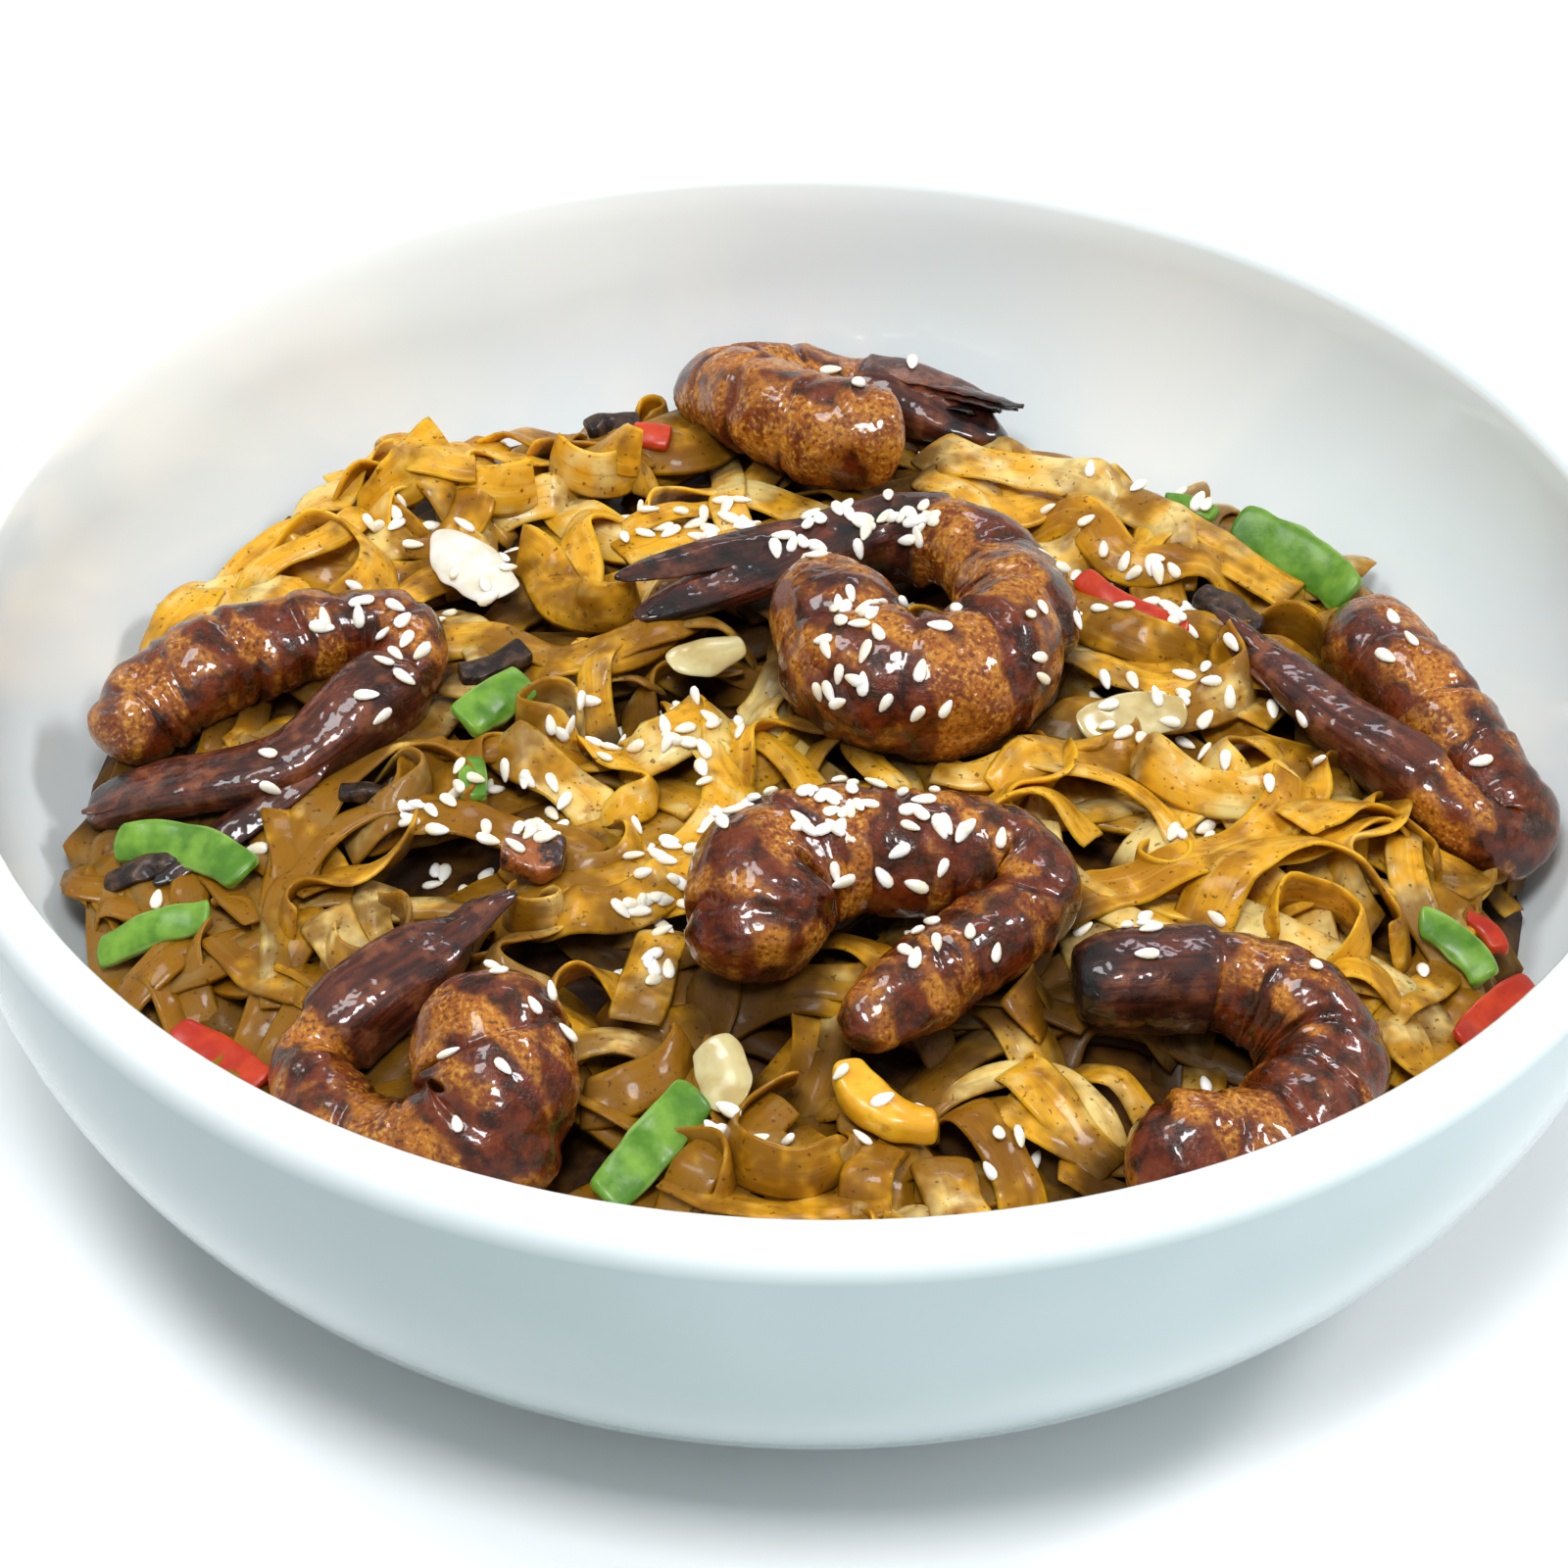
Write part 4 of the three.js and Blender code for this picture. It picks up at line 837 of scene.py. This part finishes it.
def layNoodle(noodle, heights, covers):
    count = max(8, round(noodle["length"] / noodles["stride"]))
    x, y, turn, curl = routeOf(noodle, count)
    first, last = insideRun(x, y)
    if last - first < noodles["fewestSteps"]:
        return None
    x, y, turn, curl = (values[first:last] for values in (x, y, turn, curl))
    s = np.linspace(0, 1, len(x))
    width = noodle["width"] * (1 + 0.05 * np.sin(9 * s + noodle["tone"] * 20))
    side = 1 if noodle["bend"][0] + noodle["bend"][1] > 0 else -1
    roll = side * math.radians(noodle["stand"]) * smoothStep(0.15, 1.1, width * np.abs(curl))
    roll = smoothed(roll + math.radians(noodle["twist"]) * np.sin(2 * math.pi * (s + noodle["tone"])))
    samples = np.linspace(-1, 1, 5)  # from edge to edge
    reach = np.cos(roll)[:, None] * samples * width[:, None] / 2
    lift = np.sin(roll)[:, None] * samples * width[:, None] / 2
    cellX, cellY = x[:, None] - np.sin(turn)[:, None] * reach, y[:, None] + np.cos(turn)[:, None] * reach
    cellX, cellY = (np.clip(np.rint(cell).astype(int) + mapReach, 0, 2 * mapReach) for cell in (cellX, cellY))
    z = (heights[cellX, cellY] - lift).max(1) + noodles["thickness"] / 2
    step = noodles["stride"] * noodles["slope"]
    for i in range(1, len(z)):  # it bridges dips, as it can't fall more steeply than this
        z[i] = max(z[i], z[i - 1] - step)
    for i in range(len(z) - 2, -1, -1):
        z[i] = max(z[i], z[i + 1] - step)
    z = smoothed(z) + noodle["arch"] * np.sin(math.pi * s)
    if "shown" in noodle:
        standing = 0.4 * width * np.abs(np.sin(roll))
        z = np.maximum(z, heapTop(x, y) + noodles["shownLift"] + standing - 2)
    away = np.hypot(x[:, None] - covers[:, 0], y[:, None] - covers[:, 1])
    under = covers[:, 2] - noodles["pressed"] * covers[:, 3] + 0.9 * np.maximum(0, away - 1.05 * covers[:, 3])
    z = smoothed(np.minimum(z, np.minimum(heapTop(x, y) + noodle["highest"], under.min(1))))
    startDive, endDive = (noodles["dive"] if dives else 0 for dives in noodle["ends"])
    z = z - startDive * (1 - smoothStep(0, 0.22, s)) - endDive * (1 - smoothStep(0, 0.22, 1 - s))
    radius = np.hypot(x, y)
    limit = innerRadius(z - 2) - noodles["edgeRoom"] - np.abs(reach).max(1) * 0.8
    inward = np.minimum(1, limit / np.maximum(radius, 1))
    x, y = x * inward, y * inward
    for column in range(len(samples)):
        top = z + lift[:, column] * 0.6 + noodles["thickness"] / 2
        np.maximum.at(heights, (cellX[:, column], cellY[:, column]), top)
    stain = np.exp(-(away.min(1) / noodles["stainReach"]) ** 2)
    # besides the stain near the toppings, the noodles are made darker towards the front left of the heap
    stain = stain + noodles["frontLeftDarkening"] * smoothStep(0, 90, -0.6 * x - 0.75 * y)
    beside = (away - covers[:, 3])[:, covers[:, 3] > noodles["besideGirth"]].min(1)
    # painted shade: depth darkens noodles lying deep below the heap's top and those within a few millimetres
    # of a prawn, partly sauce and partly shade and contact shadow
    depth = np.maximum(smoothStep(1, 8, heapTop(x, y) - z), 0.6 * (1 - smoothStep(-1, 5, beside)))
    return {"x": x, "y": y, "z": z, "turn": turn, "roll": roll, "width": width, "stain": stain,
            "depth": depth, "tone": noodle["tone"]}


def addRibbon(bm, layers, ribbon):
    last, tone = len(ribbon["x"]) - 1, ribbon["tone"]
    (warpSize, warp), (crumpleSize, crumple) = noodles["warp"], noodles["crumple"]
    made = bmesh.ops.create_grid(bm, x_segments=last, y_segments=2, size=0.5)["verts"]
    for vert in made:
        i = round((vert.co.x + 0.5) * last)
        t = vert.co.y * 2
        turn, roll, width = ribbon["turn"][i], ribbon["roll"][i], ribbon["width"][i]
        sideways = Vector((-math.sin(turn), math.cos(turn), 0))
        across = sideways * math.cos(roll) + up * math.sin(roll)
        through = Vector((math.cos(turn), math.sin(turn), 0)).cross(across)
        place = Vector((ribbon["x"][i], ribbon["y"][i], ribbon["z"][i])) + across * (t * width / 2)
        shove = noodles["crown"] * (1 - t * t) * math.cos(roll)
        shove += noise.noise(place / warpSize + Vector((tone * 40, 0, 0))) * warp
        shove += noise.noise(place / crumpleSize + Vector((0, tone * 40, 0))) * crumple
        vert.co = place + through * shove
        vert[layers["tone"]] = tone
        vert[layers["stain"]] = ribbon["stain"][i]
        vert[layers["depth"]] = ribbon["depth"][i]
        vert[layers["u"]] = i * noodles["stride"] / 4 + tone * 50
        vert[layers["v"]] = (t + 1) / 2


def makeNoodles(name, ribbons, look, levels):
    bm = bmesh.new()
    layers = {word: bm.verts.layers.float.new(word) for word in ("tone", "stain", "depth", "u", "v")}
    for ribbon in ribbons:
        addRibbon(bm, layers, ribbon)
    layUv(bm, "ribbon", layers)
    piece = finishPiece(bm, name, look)
    addModifier(piece, "SOLIDIFY", thickness=noodles["thickness"] * mm, offset=0, edge_crease_rim=0.45)
    if levels:
        subdivide(piece, levels)
    return piece


def layAllNoodles():
    look = noodleLook()
    heights = makeHeightMap()
    covers = coveredBy()
    draw = random.Random(11)

    def layLayer(name, levels):
        spread = spreadNoodles(draw, *noodleLayers[name])
        laid = [layNoodle(noodle, heights, covers) for noodle in spread]
        laid = [ribbon for ribbon in laid if ribbon]
        food.append(makeNoodles(name, laid, look, levels))
        print(name, len(laid))

    layLayer("noodles_deep", 0)
    layLayer("noodles_loose", 1)
    layLayer("noodles_curled", 1)
    shown = []
    for x, y, heading, length, bendStart, bendEnd in shownNoodles:
        noodle = {"x": x, "y": y, "heading": heading, "length": length, "bend": (bendStart, bendEnd),
                  "arch": 0, "highest": 6, "twist": 0, "stand": noodles["shownStand"], "shown": True,
                  "ends": (draw.random() < 0.6, draw.random() < 0.6), "tone": draw.uniform(0.3, 1),
                  "width": noodles["width"] * draw.uniform(*noodles["shownWidths"])}
        shown.append(layNoodle(noodle, heights, covers))
    shown = [ribbon for ribbon in shown if ribbon]
    food.append(makeNoodles("noodles_shown", shown, look, 1))
    print("noodles_shown", len(shown))
    layLayer("noodles_edge", 1)


layAllNoodles()
print("noodles laid")


# ---- sesame: x, y, the two reaches of a patch and how many seeds fall there

seed = {"length": 3.4, "width": 1.75, "thickness": 1.05, "slant": 0.45, "levelOff": 0.15, "taper": 0.3,
        "sizes": (0.85, 1.12), "lean": (0.2, 0.15), "raised": 0.35, "around": 8, "rings": 6,
        "aimHeight": 55, "fall": 60}
seedPatches = [
    (-18, 56, 11, 9, 29), (6, 46, 12, 12, 47), (12, 15, 12, 14, 29), (44, 44, 14, 12, 34),
    (43, 18, 14, 11, 17), (-43, -13, 12, 11, 38), (-22, 8, 14, 10, 31), (-16, -16, 8, 15, 34),
    (1, -17, 10, 10, 34), (15, -28, 12, 13, 22), (19, -40, 7, 10, 10), (44, -37, 8, 9, 11),
    (-60, 19, 9, 16, 16), (-21, -37, 4, 13, 14), (62, 15, 12, 18, 14), (51, -11, 5, 7, 4),
    (8, -72, 25, 8, 14), (-38, -64, 11, 18, 8), (55, -60, 5, 4, 3), (88, 19, 10, 22, 5),
    (-53, 45, 16, 17, 18), (43, 68, 16, 8, 10), (10, 90, 12, 12, 5), (-80, -10, 14, 20, 4),
    (70, -30, 16, 14, 4),
]


def seedLook():
    look = newLook("sesame", Roughness=0.5, Subsurface_Weight=0.25, Subsurface_Scale=0.0012,
                   Subsurface_Radius=(1, 0.8, 0.5))
    feed(look, "Base Color", blend(look, band(look, blobs(look, 2.4, 2), 0.35, 0.7), "fffcf2", "f4e8c8"))
    bumps(look, blobs(look, 0.5, 2), 0.04)
    return look


def makeSesame():
    draw = random.Random(21)
    scene.view_layers[0].update()
    depsgraph = bpy.context.evaluated_depsgraph_get()
    trees = [BVHTree.FromObject(piece, depsgraph) for piece in food]
    down = Vector((0, seed["slant"], -1)).normalized()
    bm = bmesh.new()
    landed = 0
    for x, y, reachX, reachY, count in seedPatches:
        for _ in range(count):
            angle, radius = draw.uniform(0, 2 * math.pi), math.sqrt(draw.random())
            target = Vector((x + reachX * radius * math.cos(angle), y + reachY * radius * math.sin(angle),
                             seed["aimHeight"]))
            start = (target - down * seed["fall"]) * mm
            hits = [tree.ray_cast(start, down) for tree in trees]
            hits = [hit for hit in hits if hit[0] is not None]
            if not hits:
                continue
            spot, normal, _, _ = min(hits, key=lambda hit: hit[3])
            if normal.dot(down) > 0:
                normal = -normal
            if normal.z < seed["levelOff"]:  # too steep to lie on
                continue
            made = bmesh.ops.create_uvsphere(bm, u_segments=seed["around"], v_segments=seed["rings"],
                                             radius=1)["verts"]
            size = draw.uniform(*seed["sizes"])
            for vert in made:
                narrow = 1 - seed["taper"] * vert.co.z
                vert.co = Vector((vert.co.z * seed["length"] / 2 * size,
                                  vert.co.x * seed["width"] / 2 * size * narrow,
                                  vert.co.y * seed["thickness"] / 2 * narrow))
            leanX, leanY = (draw.gauss(0, most) for most in seed["lean"])
            lean = Matrix.Rotation(leanX, 3, "X") @ Matrix.Rotation(leanY, 3, "Y")
            spin = Matrix.Rotation(draw.uniform(0, math.pi * 2), 3, "Z")
            turn = normal.to_track_quat("Z", "Y").to_matrix() @ spin @ lean
            bmesh.ops.transform(bm, matrix=turn.to_4x4(), verts=made)
            bmesh.ops.translate(bm, vec=spot / mm + normal * seed["thickness"] * seed["raised"], verts=made)
            landed += 1
    bmesh.ops.recalc_face_normals(bm, faces=bm.faces)
    finishPiece(bm, "sesame_seeds", seedLook())
    print("sesame seeds", landed)


makeSesame()


# ---- floor and light

light = {"sky": 0.52, "skyTop": "f4f7f8", "skyLow": "3e4a47", "skyRight": "98a5a3",
         "floor": ("fbfcfc", "ffffff"), "floorReach": 2, "aim": (0, 0, 0.05)}
softboxes = {  # name: place, size, watts, tint
    "key": ((1.15, 0.3, 1.15), (0.3, 0.3), 9, "fdfbff"),
    "front": ((-0.1, -0.8, 1.55), (0.42, 0.42), 18.5, "fafcff"),
    "left": ((-0.75, 0.1, 1.6), (0.5, 0.5), 9, "f8fcff"),
    "side": ((1.4, -1.0, 0.15), (0.4, 0.2), 15, "fbfdff"),
    "back": ((0.2, 1.2, 1.2), (0.45, 0.2), 2.4, "f3f0ff"),
}


def makeFloor():
    bm = bmesh.new()
    bmesh.ops.create_grid(bm, x_segments=1, y_segments=1, size=light["floorReach"])
    look = newLook("pale floor", Roughness=0.9)
    feed(look, "Base Color", blend(look, band(look, blobs(look, 400, 1), 0.3, 0.7), *light["floor"]))
    floor = addObject(bm, "floor", look)


def addSoftbox(name, place, size, power, tint):
    lamp = bpy.data.objects.new(name, bpy.data.lights.new(name, "AREA"))
    lamp.data.shape = "RECTANGLE"
    lamp.data.size, lamp.data.size_y = size
    lamp.data.energy = power
    lamp.data.color = colour(tint)[:3]
    lamp.location = place
    lamp.rotation_euler = (Vector(light["aim"]) - Vector(place)).to_track_quat("-Z", "Y").to_euler()
    scene.collection.objects.link(lamp)


def makeSky():  # bright overhead and dark low down, most of all on the left
    world = bpy.data.worlds.new("studio")
    scene.world = world
    world.use_nodes = True
    way = addNode(world, "TexCoord", {}, output="Generated")
    x, _, z = (addNode(world, "SeparateXYZ", {0: way}, output=axis) for axis in range(3))
    low = blend(world, band(world, x, -0.7, 0.9), light["skyLow"], light["skyRight"])
    sky = blend(world, band(world, z, 0.0, 0.75), low, light["skyTop"])
    background = world.node_tree.nodes["Background"]
    world.node_tree.links.new(sky, background.inputs["Color"])
    background.inputs["Strength"].default_value = light["sky"]


makeFloor()
for boxName, boxRow in softboxes.items():
    addSoftbox(boxName, *boxRow)
makeSky()
scene.view_settings.view_transform = "Standard"
print("floor and light placed")
